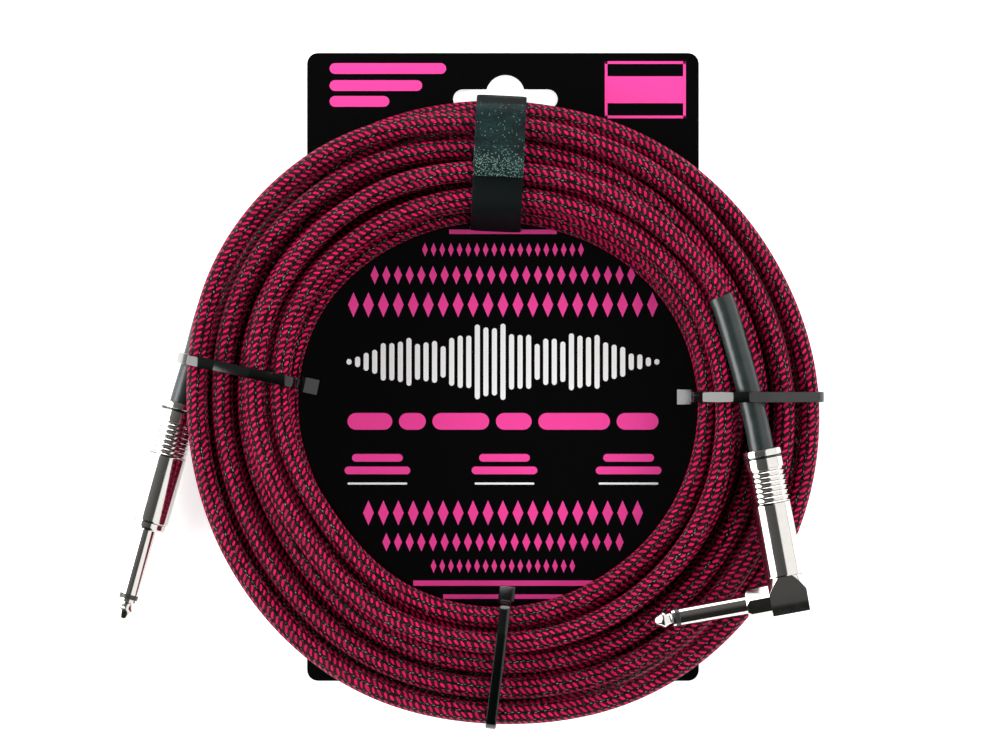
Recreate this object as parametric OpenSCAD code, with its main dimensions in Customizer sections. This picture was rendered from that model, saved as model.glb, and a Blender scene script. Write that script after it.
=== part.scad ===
// Instrument cable, 6.35 mm straight plug to 6.35 mm right-angle plug,
// coiled and tied to a backing card. Millimetres, +Z up, the card lies in the XY plane.

/* [Cable and coil] */
// Diameter over the braid
cable_d = 7.0; // [6.4:0.1:7.2]
// Radius of the outermost turn, to the middle of the cable
coil_outer_r = 102.2; // [100:0.1:104]
// Radius of the innermost turn, to the middle of the cable
coil_inner_r = 66.9; // [64:0.1:69]
// Turns in each of the three full layers
turns_per_layer = 4.18; // [3.9:0.01:4.3]
// Turns in the part layer on top
top_layer_turns = 1.72; // [1.5:0.01:1.8]
// Gap between one layer and the next
layer_gap = 0.5; // [0.45:0.05:1.2]
// Lift of the upper layers over the sleeve of the straight plug
sleeve_lift = 0.5; // [0.5:0.1:1.5]

/* [Plugs] */
// Diameter of the plug shaft
shaft_d = 6.35; // [6.3:0.01:6.4]
// Length of the tip contact
tip_len = 7.2; // [6.5:0.1:7.6]
// Width of the insulating ring behind the tip
ring_len = 1.4; // [1:0.1:2]
// Length of the shaft's grounded sleeve
sleeve_len = 22.4; // [21:0.1:24]
// Diameter of the barrel's smooth part
barrel_d = 12.6; // [12.2:0.1:13]
// Diameter of the barrel's rear collar
collar_d = 13.2; // [13:0.1:13.6]
// Length of the straight plug's barrel
straight_barrel_len = 41.1; // [40:0.1:44]
// Length of the angle plug's barrel
angle_barrel_len = 42.6; // [41:0.1:45]
// Number of grip grooves round a barrel
grip_grooves = 7; // [4:1:8]
// Spacing of the grip grooves
groove_pitch = 1.68; // [1.4:0.02:1.8]
// Depth of the grip grooves
groove_depth = 0.4; // [0.2:0.05:0.5]
// Diameter of the thread under the barrel
thread_d = 10.0; // [9.6:0.1:10.2]
// Length of that thread
thread_len = 6.0; // [5:0.1:7]
// Height of the straight plug's axis above the ground
straight_axis_z = 7.0; // [6.9:0.1:7.4]

/* [Cable sleeves] */
// Outside diameter of a sleeve where it leaves the barrel
boot_d = 8.4; // [8.2:0.1:8.6]
// Outside diameter of a sleeve at its thin end
boot_end_d = 8.0; // [7.9:0.05:8.4]

/* [Backing card] */
// Width of the card
card_w = 131; // [125:1:140]
// Height of the card
card_h = 210; // [205:1:216]
// Thickness of the card
card_t = 0.6; // [0.4:0.1:0.8]
// Width of the card across the two ears under the coil
ear_w = 150; // [140:1:160]
// Height of the ears
ear_h = 60; // [50:1:80]
// Width of the hanging slot
slot_w = 35; // [30:1:40]
// Height of the hanging slot
slot_h = 6.5; // [6:0.1:7]
// Radius of the peg notch above the slot
peg_r = 6.5; // [6:0.1:7]

/* [Ties and strap] */
// Width of a cable tie
tie_w = 3.6; // [3:0.1:4.5]
// Thickness of a cable tie
tie_t = 1.3; // [1:0.1:1.6]
// Width of a cable tie's head
tie_head_w = 5.4; // [5:0.1:6.5]
// Depth of a cable tie's head
tie_head_l = 5.0; // [4.5:0.1:6]
// Height of a cable tie's head
tie_head_h = 4.4; // [4:0.1:6]
// Width of the hook-and-loop strap
strap_w = 16.7; // [15:0.1:18]
// Thickness of the strap
strap_t = 1.3; // [1:0.1:1.6]
// Length of the strap's free tab
tab_len = 24; // [20:0.5:26]

/* [Hidden] */

// Finishes
nickel = "#c9c7c4";
black_plastic = "#16181a";
sleeve_black = "#2b3335";
cable_red = "#b0122f";
clear_plastic = "#d8dcd6";
copper = "#b87333";

// Fits
fit_gap = 0.05;     // between pieces that touch or screw together
loose_gap = 0.3;    // between the cable and what it lies against
round_fn = 48;
wire_fn = 20;

// The coil's middle, measured from the origin under the tied card
coil_centre = [1, -7.7, 0];

// Heights: bands on the ground, then the card, then the cable
cable_r = cable_d / 2;
band_t = max(tie_t, strap_t);
card_top = band_t + card_t;
first_layer_z = card_top + loose_gap + cable_r;
layer_pitch = cable_d + layer_gap;

// ---- Coil route: in, out, in and part of the way out again, one layer each ----
layers = 4;
rings_per_turn = 24;
coil_start_angle = 138;
coil_turns = (layers - 1) * turns_per_layer + top_layer_turns;
coil_rings = round(coil_turns * rings_per_turn);
spiral_pitch = (coil_outer_r - coil_inner_r) / turns_per_layer;
climb_turns = 0.5;

// How far the hand-wound turns lie from true round, every 30 degrees from 0:
// the inner turn out by, the outer turn out by; then the share of both that each layer takes
drift_step = 30;
coil_drift = [
    [0, 0], [1.5, -2.5], [0.5, -0.8], [0, 0], [2.5, 8.2], [6, 8.8],
    [3.8, 4], [-1, 2.8], [0, 2], [0, 0], [-0.3, 2], [-0.3, 2]
];
drift_share = [[0.7, 0.2], [0.7, 0.2], [1, 1], [1, 1]];

function layer_of(t) = min(layers - 1, floor(t / turns_per_layer));
function layer_z(k) = first_layer_z + k * layer_pitch + (k > 0 ? sleeve_lift : 0);
function by_layer(t, values) =
    let (k = max(1, min(layers - 1, round(t / turns_per_layer))))
    let (f = (t - k * turns_per_layer) / climb_turns + 0.5)
    values[k - 1] + (values[k] - values[k - 1]) * max(0, min(1, f));
function drift_at(a) =
    let (u = ((a % 360) + 360) % 360 / drift_step, i = floor(u), w = u - i)
    let (p = [for (j = [-1:2]) coil_drift[(i + j + len(coil_drift)) % len(coil_drift)]])
    (2 * p[1] + (p[2] - p[0]) * w + (2 * p[0] - 5 * p[1] + 4 * p[2] - p[3]) * w * w
        + (3 * p[1] - p[0] - 3 * p[2] + p[3]) * w * w * w) / 2;
function round_r(t) =
    let (k = layer_of(t), f = t - k * turns_per_layer)
    k % 2 == 0 ? coil_outer_r - spiral_pitch * f : coil_inner_r + spiral_pitch * f;
function coil_r(t) =
    let (r = round_r(t), out = (r - coil_inner_r) / (coil_outer_r - coil_inner_r))
    let (drift = drift_at(coil_start_angle - 360 * t), share = by_layer(t, drift_share))
    r + share[0] * drift[0] * (1 - out) + share[1] * drift[1] * out;
function coil_z(t) = by_layer(t, [for (k = [0:layers - 1]) layer_z(k)]);
function coil_point(t) =
    let (a = coil_start_angle - 360 * t)
    [coil_r(t) * cos(a), coil_r(t) * sin(a), coil_z(t)];
function unit(v) = v / norm(v);

// The coil's ends run straight for one cable diameter
function coil_heading(t) = let (a = coil_start_angle - 360 * t) [sin(a), -cos(a), 0];
coil_path_body = [for (i = [0:coil_rings]) coil_point(i * coil_turns / coil_rings)];
coil_entry = coil_point(0) - cable_d * coil_heading(0);
coil_exit = coil_point(coil_turns) + cable_d * coil_heading(coil_turns);
coil_path = concat([coil_entry], coil_path_body, [coil_exit]);

// Least gap of the coil to itself, on its points and the middles between them
gap_points = [
    for (i = [0:2 * coil_rings])
        i % 2 == 0 ? coil_path_body[i / 2]
            : (coil_path_body[(i - 1) / 2] + coil_path_body[(i + 1) / 2]) / 2
];
gap_per_turn = 2 * rings_per_turn;
least_coil_gap = min([
    for (i = [0:len(gap_points) - 1], k = [1:ceil(coil_turns)], d = [-3:3])
        let (j = i + k * gap_per_turn + d)
        if (j < len(gap_points)) norm(gap_points[i] - gap_points[j]) - cable_d
]);

function path_length(p, i = 0) =
    i >= len(p) - 1 ? 0 : norm(p[i + 1] - p[i]) + path_length(p, i + 1);

// ---- Plug places: the tip's end, the way back along the shaft, and the height ----
straight_plug_out = 24.8;    // tip's end, out from the coil's outer turn
straight_tip_at = [-coil_outer_r - straight_plug_out, -68.8, straight_axis_z];
straight_heading = 74.6;
angle_axis_z = layer_z(2) + cable_r + collar_d / 2 + 0.4;
angle_elbow_at = [94.5, -60.5, angle_axis_z];
angle_heading = 100.4;

// ---- Plug sizes, along the plug's own axis ----
shaft_r = shaft_d / 2;
rod_r = 1.25;
liner_r = 2.1;
sleeve_start = tip_len + ring_len;
sleeve_end = sleeve_start + sleeve_len;
shoulder_len = 2.7;
shoulder_r = barrel_d / 2 - 0.5;
thread_r = thread_d / 2;
thread_start = sleeve_end + shoulder_len;
thread_end = thread_start + thread_len;
lug_t = 0.6;
washer_t = 1.0;
terminal_t = 0.5;
lug_r = thread_r - 0.8;
lug_strip_w = 4;
cable_end = 17.4;        // from the thread's end back to the cut end of the cable
clamp_start = 19.4;      // from the thread's end back to the cable clamp
clamp_len = 5;
clamp_r = cable_r + 0.1;
clamp_t = 0.6;
boot_start = 26.0;       // from the thread's end back to the sleeve's hidden end
boot_straight = 8;       // straight stretch of a sleeve behind its barrel
boot_bore_r = cable_r + 0.2;
barrel_bore_r = thread_r + 0.55;
rear_wall = 4.8;
rear_bore_r = boot_d / 2 + loose_gap;
inner_tube_t = 0.5;
rear_collar_len = 2.2;
ring_groove_w = 0.8;
ring_groove_depth = 0.7;
plain_band_len = 3.4;
groove_w = 0.8;
chamfer = 0.4;

// Along the straight plug the thread ends here and the barrel ends there
straight_rear = thread_start + straight_barrel_len;

// On the angle plug the barrel's axis starts at the elbow's middle
elbow_w = 12.4;
elbow_t = 11.5;
elbow_up = 6.8;
elbow_down = 5.6;
elbow_bevel = 2.6;
hex_len = 8.0;
hex_side = 4.85;
hex_turn = 14;
hex_bevel = 0.8;
angle_thread_end = elbow_up + thread_len;
angle_rear = elbow_up + angle_barrel_len;
angle_shaft_base = sleeve_end + hex_len + elbow_w / 2;
elbow_bore_r = 3.9;
spigot_r = 2.7;          // end of the shaft inside the elbow's wall

// ---- Cable routes between the plugs and the coil ----
function along(at, heading, s) = at + s * [cos(heading), sin(heading), 0];
// Each point of the straight plug's cable: place round the coil, distance out from its outer turn, height
boot_out = 2.3;
straight_free_places = [
    [170.06, 2.07, first_layer_z + 0.2], [165.21, 2.1, first_layer_z], [160.08, 2.2, first_layer_z],
    [154.59, 2.3, first_layer_z], [149.02, 2.35, first_layer_z], [144.13, 2.5, first_layer_z]
];
straight_free_points = [
    for (p = straight_free_places)
        [(coil_outer_r + p[1]) * cos(p[0]), (coil_outer_r + p[1]) * sin(p[0]), p[2]]
];
angle_free_points = [
    [81.9, 5.6, 31.7], [79.3, 15.4, 31.7], [76.4, 25.2, 31.5], [72.6, 38.5, 30.7],
    [68.6, 46.0, 29.7]
];
straight_route = concat(
    [
        along(straight_tip_at, straight_heading, thread_end + cable_end),
        along(straight_tip_at, straight_heading, thread_end + boot_start),
        along(straight_tip_at, straight_heading, straight_rear + boot_straight)
    ],
    straight_free_points,
    [coil_entry - 2 * coil_heading(0), coil_entry]
);
angle_route = concat(
    [
        along(angle_elbow_at, angle_heading, angle_thread_end + cable_end),
        along(angle_elbow_at, angle_heading, angle_thread_end + boot_start),
        along(angle_elbow_at, angle_heading, angle_rear + boot_straight)
    ],
    angle_free_points,
    [coil_exit + 2 * coil_heading(coil_turns), coil_exit]
);
boot_first = 1;
straight_boot_last = 7;
angle_boot_last = 6;

echo(least_coil_gap = least_coil_gap);
echo(cable_length_mm = path_length(coil_path) + path_length(straight_route) + path_length(angle_route));

// ---- Tubes swept along a route ----
function heading_at(p, i) =
    unit(p[min(i + 1, len(p) - 1)] - p[max(i - 1, 0)]);
function ring(p, i, r, sides) =
    let (h = heading_at(p, i), side = unit(cross(h, [0, 0, 1])), up = cross(side, h))
    [for (k = [0:sides - 1]) p[i] + r * (cos(360 * k / sides) * side + sin(360 * k / sides) * up)];
function wall_faces(rings, sides, first, flip) = [
    for (i = [0:rings - 2], k = [0:sides - 1])
        let (a = first + i * sides + k, b = first + i * sides + (k + 1) % sides)
        for (f = [[a, b, b + sides], [a, b + sides, a + sides]])
            flip ? [f[2], f[1], f[0]] : f
];
function flat(lists) = [for (l = lists, x = l) x];

// Solid cable with flat ends
module cable_tube(path, r, sides) {
    rings = len(path);
    last = (rings - 1) * sides;
    points = flat([for (i = [0:rings - 1]) ring(path, i, r, sides)]);
    end_faces = [
        for (k = [1:sides - 2])
            for (f = [[0, k + 1, k], [last, last + k, last + k + 1]]) f
    ];
    polyhedron(points, concat(wall_faces(rings, sides, 0, false), end_faces), convexity = 10);
}

// Sleeve with a bore, tapering from one outside radius to the other
module sleeve_tube(path, r_start, r_end, bore_r, sides) {
    rings = len(path);
    inner = rings * sides;
    outer_r = [for (i = [0:rings - 1]) r_start + (r_end - r_start) * i / (rings - 1)];
    points = concat(
        flat([for (i = [0:rings - 1]) ring(path, i, outer_r[i], sides)]),
        flat([for (i = [0:rings - 1]) ring(path, i, bore_r, sides)])
    );
    last = (rings - 1) * sides;
    end_faces = [
        for (k = [0:sides - 1])
            let (n = (k + 1) % sides)
            for (f = [
                [k, inner + k, inner + n], [k, inner + n, n],
                [last + k, inner + last + n, inner + last + k], [last + k, last + n, inner + last + n]
            ]) f
    ];
    polyhedron(
        points,
        concat(wall_faces(rings, sides, 0, false), wall_faces(rings, sides, inner, true), end_faces),
        convexity = 10
    );
}

function part_of(path, first, last) = [for (i = [first:last]) path[i]];

module in_coil() {
    translate(coil_centre) children();
}

module cable_coil() {
    color(cable_red) in_coil() cable_tube(coil_path, cable_r, 6);
}

module straight_cable_tail() {
    color(cable_red) in_coil() cable_tube(straight_route, cable_r, 8);
}

module angle_cable_tail() {
    color(cable_red) in_coil() cable_tube(angle_route, cable_r, 8);
}

module boot(route, last) {
    color(sleeve_black) in_coil()
        sleeve_tube(part_of(route, boot_first, last), boot_d / 2, boot_end_d / 2, boot_bore_r, 12);
}

module straight_boot() {
    boot(straight_route, straight_boot_last);
}

module angle_boot() {
    boot(angle_route, angle_boot_last);
}

// ---- Pieces that both plugs share, drawn along +Z ----
module round_rod(r, from, length) {
    translate([0, 0, from]) cylinder(r = r, h = length, $fn = round_fn);
}

// Tip: blunt nose, cone out to the bulge, waist for the socket's spring, collar
module tip_contact(rod_end) {
    neck_r = 2.1;
    nose_r = 0.9;
    nose_round = 0.6;
    bulge_r = shaft_r - 0.2;
    bulge_at = 3.1;
    bulge_len = 0.4;
    neck_at = tip_len - 2.0;
    neck_len = 0.4;
    collar_at = tip_len - 1.1;
    rotate_extrude($fn = round_fn) polygon([
        [0, 0], [nose_r, 0], [nose_r + nose_round, nose_round / 2], [bulge_r, bulge_at],
        [bulge_r, bulge_at + bulge_len], [neck_r, neck_at], [neck_r, neck_at + neck_len],
        [shaft_r, collar_at], [shaft_r, tip_len], [rod_r, tip_len], [rod_r, rod_end], [0, rod_end]
    ]);
}

// Ring behind the tip and the liner that insulates the rod inside the sleeve
module tip_insulator(liner_end) {
    rotate_extrude($fn = round_fn) polygon([
        [rod_r + fit_gap, tip_len], [shaft_r, tip_len], [shaft_r, sleeve_start],
        [liner_r, sleeve_start], [liner_r, liner_end], [rod_r + fit_gap, liner_end]
    ]);
}

// Barrel with its grip, from the front edge at 0 to the collar at the rear
module barrel_shell(length) {
    outer_r = barrel_d / 2;
    collar_r = collar_d / 2;
    grip_end = length - rear_collar_len - ring_groove_w - plain_band_len;
    difference() {
        rotate_extrude($fn = round_fn) polygon([
            [rear_bore_r, length], [rear_bore_r, length - rear_wall],
            [barrel_bore_r, length - rear_wall], [barrel_bore_r, thread_len + 0.2],
            [thread_r + fit_gap, thread_len + 0.2], [thread_r + fit_gap, 0],
            [outer_r - chamfer, 0], [outer_r, chamfer], [outer_r, grip_end],
            [collar_r - 0.1, grip_end],
            [collar_r - 0.1, grip_end + plain_band_len],
            [collar_r - ring_groove_depth, grip_end + plain_band_len],
            [collar_r - ring_groove_depth, length - rear_collar_len],
            [collar_r, length - rear_collar_len], [collar_r, length - chamfer],
            [collar_r - chamfer, length]
        ]);
        for (i = [0:grip_grooves - 1])
            translate([0, 0, grip_end - groove_w - i * groove_pitch])
                rotate_extrude($fn = round_fn)
                    translate([outer_r - groove_depth, 0]) square([groove_depth + 1, groove_w]);
    }
}

// Black ring in the groove beside the collar
module barrel_band(length) {
    r = collar_d / 2;
    translate([0, 0, length - rear_collar_len - ring_groove_w])
        rotate_extrude($fn = round_fn)
            translate([r - ring_groove_depth, 0]) square([ring_groove_depth - 0.2, ring_groove_w]);
}

// Clear tube that keeps the solder joints off the barrel, from behind the thread at 0
module liner_tube(length) {
    outer_r = barrel_bore_r - fit_gap;
    rotate_extrude($fn = round_fn)
        translate([outer_r - inner_tube_t, 0]) square([inner_tube_t, length]);
}

// Ground lug: a washer on the thread's end, a strip back and two wings round the cable.
// Its washer starts at 0.
module ground_lug(bore_r) {
    strip_len = clamp_start + clamp_len;
    difference() {
        union() {
            cylinder(r = lug_r, h = lug_t, $fn = round_fn);
            translate([-clamp_r - clamp_t, -lug_strip_w / 2, 0])
                cube([clamp_t, lug_strip_w, strip_len]);
            translate([0, 0, clamp_start]) cylinder(r = clamp_r + clamp_t, h = clamp_len, $fn = round_fn);
        }
        translate([0, 0, -1]) cylinder(r = bore_r, h = lug_t + 2, $fn = round_fn);
        translate([0, 0, clamp_start - 1]) cylinder(r = clamp_r, h = clamp_len + 2, $fn = round_fn);
        translate([0, -1.5, clamp_start - 1]) cube([lug_r + 2, 3, clamp_len + 2]);
    }
}

// Insulated core wire and twisted shield from the cut end of the cable, ends at 0 and len
module wire(x, r, length) {
    translate([x, 0, 0]) cylinder(r = r, h = length, $fn = wire_fn);
}

module lug_washer(outer_r) {
    difference() {
        cylinder(r = outer_r, h = washer_t, $fn = round_fn);
        translate([0, 0, -1]) cylinder(r = rod_r + fit_gap, h = washer_t + 2, $fn = round_fn);
    }
}

// ---- Straight plug ----
straight_terminal_z = thread_end + lug_t + washer_t;
rivet_lip = 0.4;
rivet_len = 0.6;
tab_w = 2.4;
terminal_tab_x = 1.7;
terminal_tab_len = 8.4;
core_r = 1.1;
core_x = terminal_tab_x - core_r;
shield_r = 0.7;
shield_x = -clamp_r + shield_r;
core_len = 11.0;
shield_len = 8.0;

module on_straight_axis() {
    in_coil() translate(straight_tip_at) rotate([0, 0, straight_heading]) rotate([0, 90, 0])
        children();
}

module straight_tip() {
    color(nickel) on_straight_axis() {
        tip_contact(straight_terminal_z + terminal_t);
        round_rod(rod_r + rivet_lip, straight_terminal_z + terminal_t, rivet_len);
    }
}

module straight_insulator() {
    color(black_plastic) on_straight_axis() tip_insulator(thread_end + lug_t);
}

module straight_sleeve() {
    color(nickel) on_straight_axis() rotate_extrude($fn = round_fn) polygon([
        [liner_r + fit_gap, sleeve_start], [shaft_r, sleeve_start], [shaft_r, sleeve_end],
        [shoulder_r - 1, sleeve_end], [shoulder_r, sleeve_end + 1], [shoulder_r, thread_start],
        [thread_r, thread_start], [thread_r, thread_end], [liner_r + fit_gap, thread_end]
    ]);
}

module straight_ground_lug() {
    color(nickel) on_straight_axis() translate([0, 0, thread_end]) ground_lug(liner_r + fit_gap);
}

module straight_washer() {
    color(black_plastic) on_straight_axis() translate([0, 0, thread_end + lug_t]) lug_washer(lug_r - 0.8);
}

module straight_terminal() {
    color(nickel) on_straight_axis() difference() {
        union() {
            round_rod(rod_r + 1.2, straight_terminal_z, terminal_t);
            translate([terminal_tab_x, -tab_w / 2, straight_terminal_z])
                cube([terminal_t, tab_w, terminal_tab_len]);
        }
        round_rod(rod_r + fit_gap, straight_terminal_z - 1, terminal_t + 2);
    }
}

module straight_core_wire() {
    color(copper) on_straight_axis() translate([0, 0, thread_end + cable_end - core_len])
        wire(core_x, core_r, core_len);
}

module straight_shield_wire() {
    color(copper) on_straight_axis() translate([0, 0, thread_end + cable_end - shield_len])
        wire(shield_x, shield_r, shield_len);
}

module straight_inner_tube() {
    color(clear_plastic) on_straight_axis()
        translate([0, 0, thread_end + lug_t])
            liner_tube(straight_rear - rear_wall - thread_end - 2 * lug_t);
}

module straight_barrel() {
    color(nickel) on_straight_axis() translate([0, 0, thread_start]) barrel_shell(straight_barrel_len);
}

module straight_barrel_ring() {
    color(black_plastic) on_straight_axis() translate([0, 0, thread_start]) barrel_band(straight_barrel_len);
}

// ---- Angle plug: the barrel's axis runs back from the elbow, the shaft leaves it square ----
angle_rod_end = angle_shaft_base + 1.6;
angle_terminal_len = 22.5;
angle_tab_x = rod_r + fit_gap;

module on_angle_axis() {
    in_coil() translate(angle_elbow_at) rotate([0, 0, angle_heading]) rotate([0, 90, 0])
        children();
}

// The shaft's own line: the tip's end at 0, the barrel's axis at angle_shaft_base
module on_angle_shaft() {
    in_coil() translate(angle_elbow_at) rotate([0, 0, angle_heading - 90]) rotate([0, 90, 0])
        translate([0, 0, -angle_shaft_base]) children();
}

module angle_tip() {
    color(nickel) on_angle_shaft() tip_contact(angle_rod_end);
}

module angle_insulator() {
    color(black_plastic) on_angle_shaft() tip_insulator(angle_shaft_base - elbow_bore_r + 0.6);
}

module angle_sleeve() {
    color(nickel) on_angle_shaft() difference() {
        union() {
            round_rod(shaft_r, sleeve_start, sleeve_len);
            translate([0, 0, sleeve_end]) intersection() {
                rotate([0, 0, hex_turn]) cylinder(r = hex_side, h = hex_len, $fn = 6);
                rotate_extrude($fn = round_fn) polygon([
                    [0, 0], [hex_side - hex_bevel, 0], [hex_side + hex_bevel, 2 * hex_bevel],
                    [hex_side + hex_bevel, hex_len], [0, hex_len]
                ]);
            }
            round_rod(spigot_r, sleeve_end + hex_len, elbow_w / 2 - elbow_bore_r);
        }
        round_rod(liner_r + fit_gap, sleeve_start - 1, angle_shaft_base);
    }
}

// Elbow: a turned shoulder milled to four flats, bevelled at the foot, with the barrel's thread on top
module angle_elbow() {
    flare_r = elbow_w / 2 + 2.6;
    foot_r = elbow_w / 2 + 0.2;
    foot_h = 3.4;
    flare_top = 1.0;
    bevel_in = elbow_bevel * 0.6;
    bevel_top = elbow_bevel - elbow_down;
    floor_t = 1.6;
    color(nickel) on_angle_axis() difference() {
        union() {
            intersection() {
                rotate_extrude($fn = round_fn) polygon([
                    [0, -elbow_down], [foot_r, -elbow_down], [flare_r, foot_h - elbow_down],
                    [flare_r, flare_top], [barrel_d / 2 - 0.1, elbow_up], [0, elbow_up]
                ]);
                translate([-elbow_t / 2, -elbow_w / 2, -elbow_down])
                    cube([elbow_t, elbow_w, elbow_down + elbow_up]);
                union() {
                    translate([-elbow_w, -elbow_w, bevel_top]) cube(2 * elbow_w);
                    rotate([90, 0, 0]) linear_extrude(2 * elbow_w, center = true) polygon([
                        [-elbow_t / 2 + bevel_in, -elbow_down], [elbow_t / 2 - bevel_in, -elbow_down],
                        [elbow_t / 2, bevel_top + 0.01], [-elbow_t / 2, bevel_top + 0.01]
                    ]);
                }
            }
            round_rod(thread_r, elbow_up, thread_len);
        }
        round_rod(elbow_bore_r, floor_t - elbow_down, elbow_down + elbow_up + thread_len);
        rotate([-90, 0, 0]) round_rod(spigot_r + fit_gap, 0, elbow_w);
    }
}

module angle_ground_lug() {
    color(nickel) on_angle_axis() translate([0, 0, angle_thread_end]) ground_lug(elbow_bore_r - 0.6);
}

module angle_washer() {
    h = 1.2;
    slot = [terminal_t + 2 * fit_gap, tab_w + 2 * fit_gap, h + 2];
    color(black_plastic) on_angle_axis() translate([0, 0, angle_thread_end - h]) difference() {
        round_rod(elbow_bore_r - fit_gap, 0, h);
        translate([angle_tab_x - fit_gap, -slot[1] / 2, -1]) cube(slot);
    }
}

module angle_terminal() {
    color(nickel) on_angle_axis() translate([angle_tab_x, -tab_w / 2, 0])
        cube([terminal_t, tab_w, angle_terminal_len]);
}

module angle_core_wire() {
    color(copper) on_angle_axis() translate([0, 0, angle_thread_end + cable_end - core_len])
        wire(angle_tab_x - core_r, core_r, core_len);
}

module angle_shield_wire() {
    color(copper) on_angle_axis() translate([0, 0, angle_thread_end + cable_end - shield_len])
        wire(shield_x, shield_r, shield_len);
}

module angle_inner_tube() {
    color(clear_plastic) on_angle_axis()
        translate([0, 0, angle_thread_end + lug_t])
            liner_tube(angle_rear - rear_wall - angle_thread_end - 2 * lug_t);
}

module angle_barrel() {
    color(nickel) on_angle_axis() translate([0, 0, elbow_up]) barrel_shell(angle_barrel_len);
}

module angle_barrel_ring() {
    color(black_plastic) on_angle_axis() translate([0, 0, elbow_up]) barrel_band(angle_barrel_len);
}

// ---- Backing card ----
card_bottom_y = -89.5;
card_corner_r = 3.6;
ear_y = -25;
slot_x = 0.8;
slot_y = card_bottom_y + card_h - 15.45;
peg_y = card_bottom_y + card_h - 13.9;

function arc(cx, cy, r, from, to, steps = 6) =
    [for (i = [0:steps]) let (a = from + (to - from) * i / steps) [cx + r * cos(a), cy + r * sin(a)]];

module card_outline() {
    w = card_w / 2;
    e = ear_w / 2;
    top = card_bottom_y + card_h;
    c = card_corner_r;
    polygon(concat(
        arc(w - c, card_bottom_y + c, c, -90, 0),
        [[w, ear_y - (e - w)], [e, ear_y], [e, ear_y + ear_h], [w, ear_y + ear_h + (e - w)]],
        arc(w - c, top - c, c, 0, 90),
        arc(-w + c, top - c, c, 90, 180),
        [[-w, ear_y + ear_h + (e - w)], [-e, ear_y + ear_h], [-e, ear_y], [-w, ear_y - (e - w)]],
        arc(-w + c, card_bottom_y + c, c, 180, 270)
    ));
}

module hanging_slot() {
    r = slot_h / 2;
    translate([slot_x, slot_y]) polygon(concat(
        arc(slot_w / 2 - r, 0, r, -90, 90, 10),
        arc(-slot_w / 2 + r, 0, r, 90, 270, 10)
    ));
    translate([slot_x, peg_y]) circle(r = peg_r, $fn = round_fn);
}

module backing_card() {
    slit_play = 0.4;
    color(black_plastic) in_coil() translate([0, 0, band_t]) linear_extrude(card_t) difference() {
        card_outline();
        difference() {
            hanging_slot();
            translate([slot_x - slot_w, slot_y - 3 * slot_h]) square([2 * slot_w, 2.5 * slot_h]);
        }
        for (w = [left_wrap, right_wrap, bottom_wrap, strap_wrap])
            wrap_plan(w) translate([inner_edge(w) - w[3] - slit_play, -w[2] / 2 - slit_play])
                square([w[3] + 2 * slit_play, w[2] + 2 * slit_play]);
    }
}

// ---- Ties and strap: bands drawn tight round the coil's section ----
// Each wrap: place round the coil, skew from the radius, width, thickness, other rounds it holds
wrap_mid_r = 85;
left_wrap = [170.9, -3.1, tie_w, tie_t, [[coil_outer_r + boot_out, first_layer_z + 0.3, boot_d / 2]]];
right_wrap = [3.7, -3.7, tie_w, tie_t, [[82.1, angle_axis_z, boot_d / 2]]];
bottom_wrap = [268.8, -5.8, tie_w, tie_t, []];
strap_wrap = [90.9, -3.6, strap_w, strap_t, []];

// Every pass of the cable under a wrap, with the inward sag of the coil's straight facets.
// Each pass is taken at both edges of the wrap too.
facet_sag = 1 - cos(180 / rings_per_turn);
function first_pass(angle) = ((coil_start_angle - angle + 720) % 360) / 360;
function half_across(wrap) = wrap[2] / 2 + abs(sin(wrap[1])) * (coil_outer_r - coil_inner_r) / 2;
function pass_at(t, turn, sag) =
    [coil_r(t - turn / 360) * cos(turn) * (1 - sag), coil_z(t - turn / 360), cable_r];
function passes(wrap) = concat(wrap[4], [
    for (k = [0:floor(coil_turns - first_pass(wrap[0]))])
        let (t = first_pass(wrap[0]) + k, edge = asin(half_across(wrap) / coil_r(t)))
        for (turn = [-edge, 0, edge], sag = [0, facet_sag])
            pass_at(t, turn, sag)
]);
function inner_edge(wrap) = min([for (p = passes(wrap)) p[0] - p[2]]) - loose_gap;
function outer_edge(wrap) = max([for (p = passes(wrap)) p[0] + p[2]]) + loose_gap;

module wrap_plan(wrap) {
    a = wrap[0];
    translate(wrap_mid_r * [cos(a), sin(a), 0]) rotate([0, 0, a + wrap[1]]) translate([-wrap_mid_r, 0, 0])
        children();
}

// Section inside a band: radius across, height up
module bundle_section(wrap) {
    hull() {
        for (p = passes(wrap)) translate([p[0], p[1]]) circle(r = p[2] + loose_gap, $fn = 32);
        translate([inner_edge(wrap), band_t]) square([outer_edge(wrap) - inner_edge(wrap), card_t]);
    }
}

module band_section(wrap) {
    difference() {
        offset(r = wrap[3], $fn = 32) bundle_section(wrap);
        bundle_section(wrap);
    }
}

module stand_up(width) {
    rotate([90, 0, 0]) linear_extrude(width, center = true) children();
}

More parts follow.
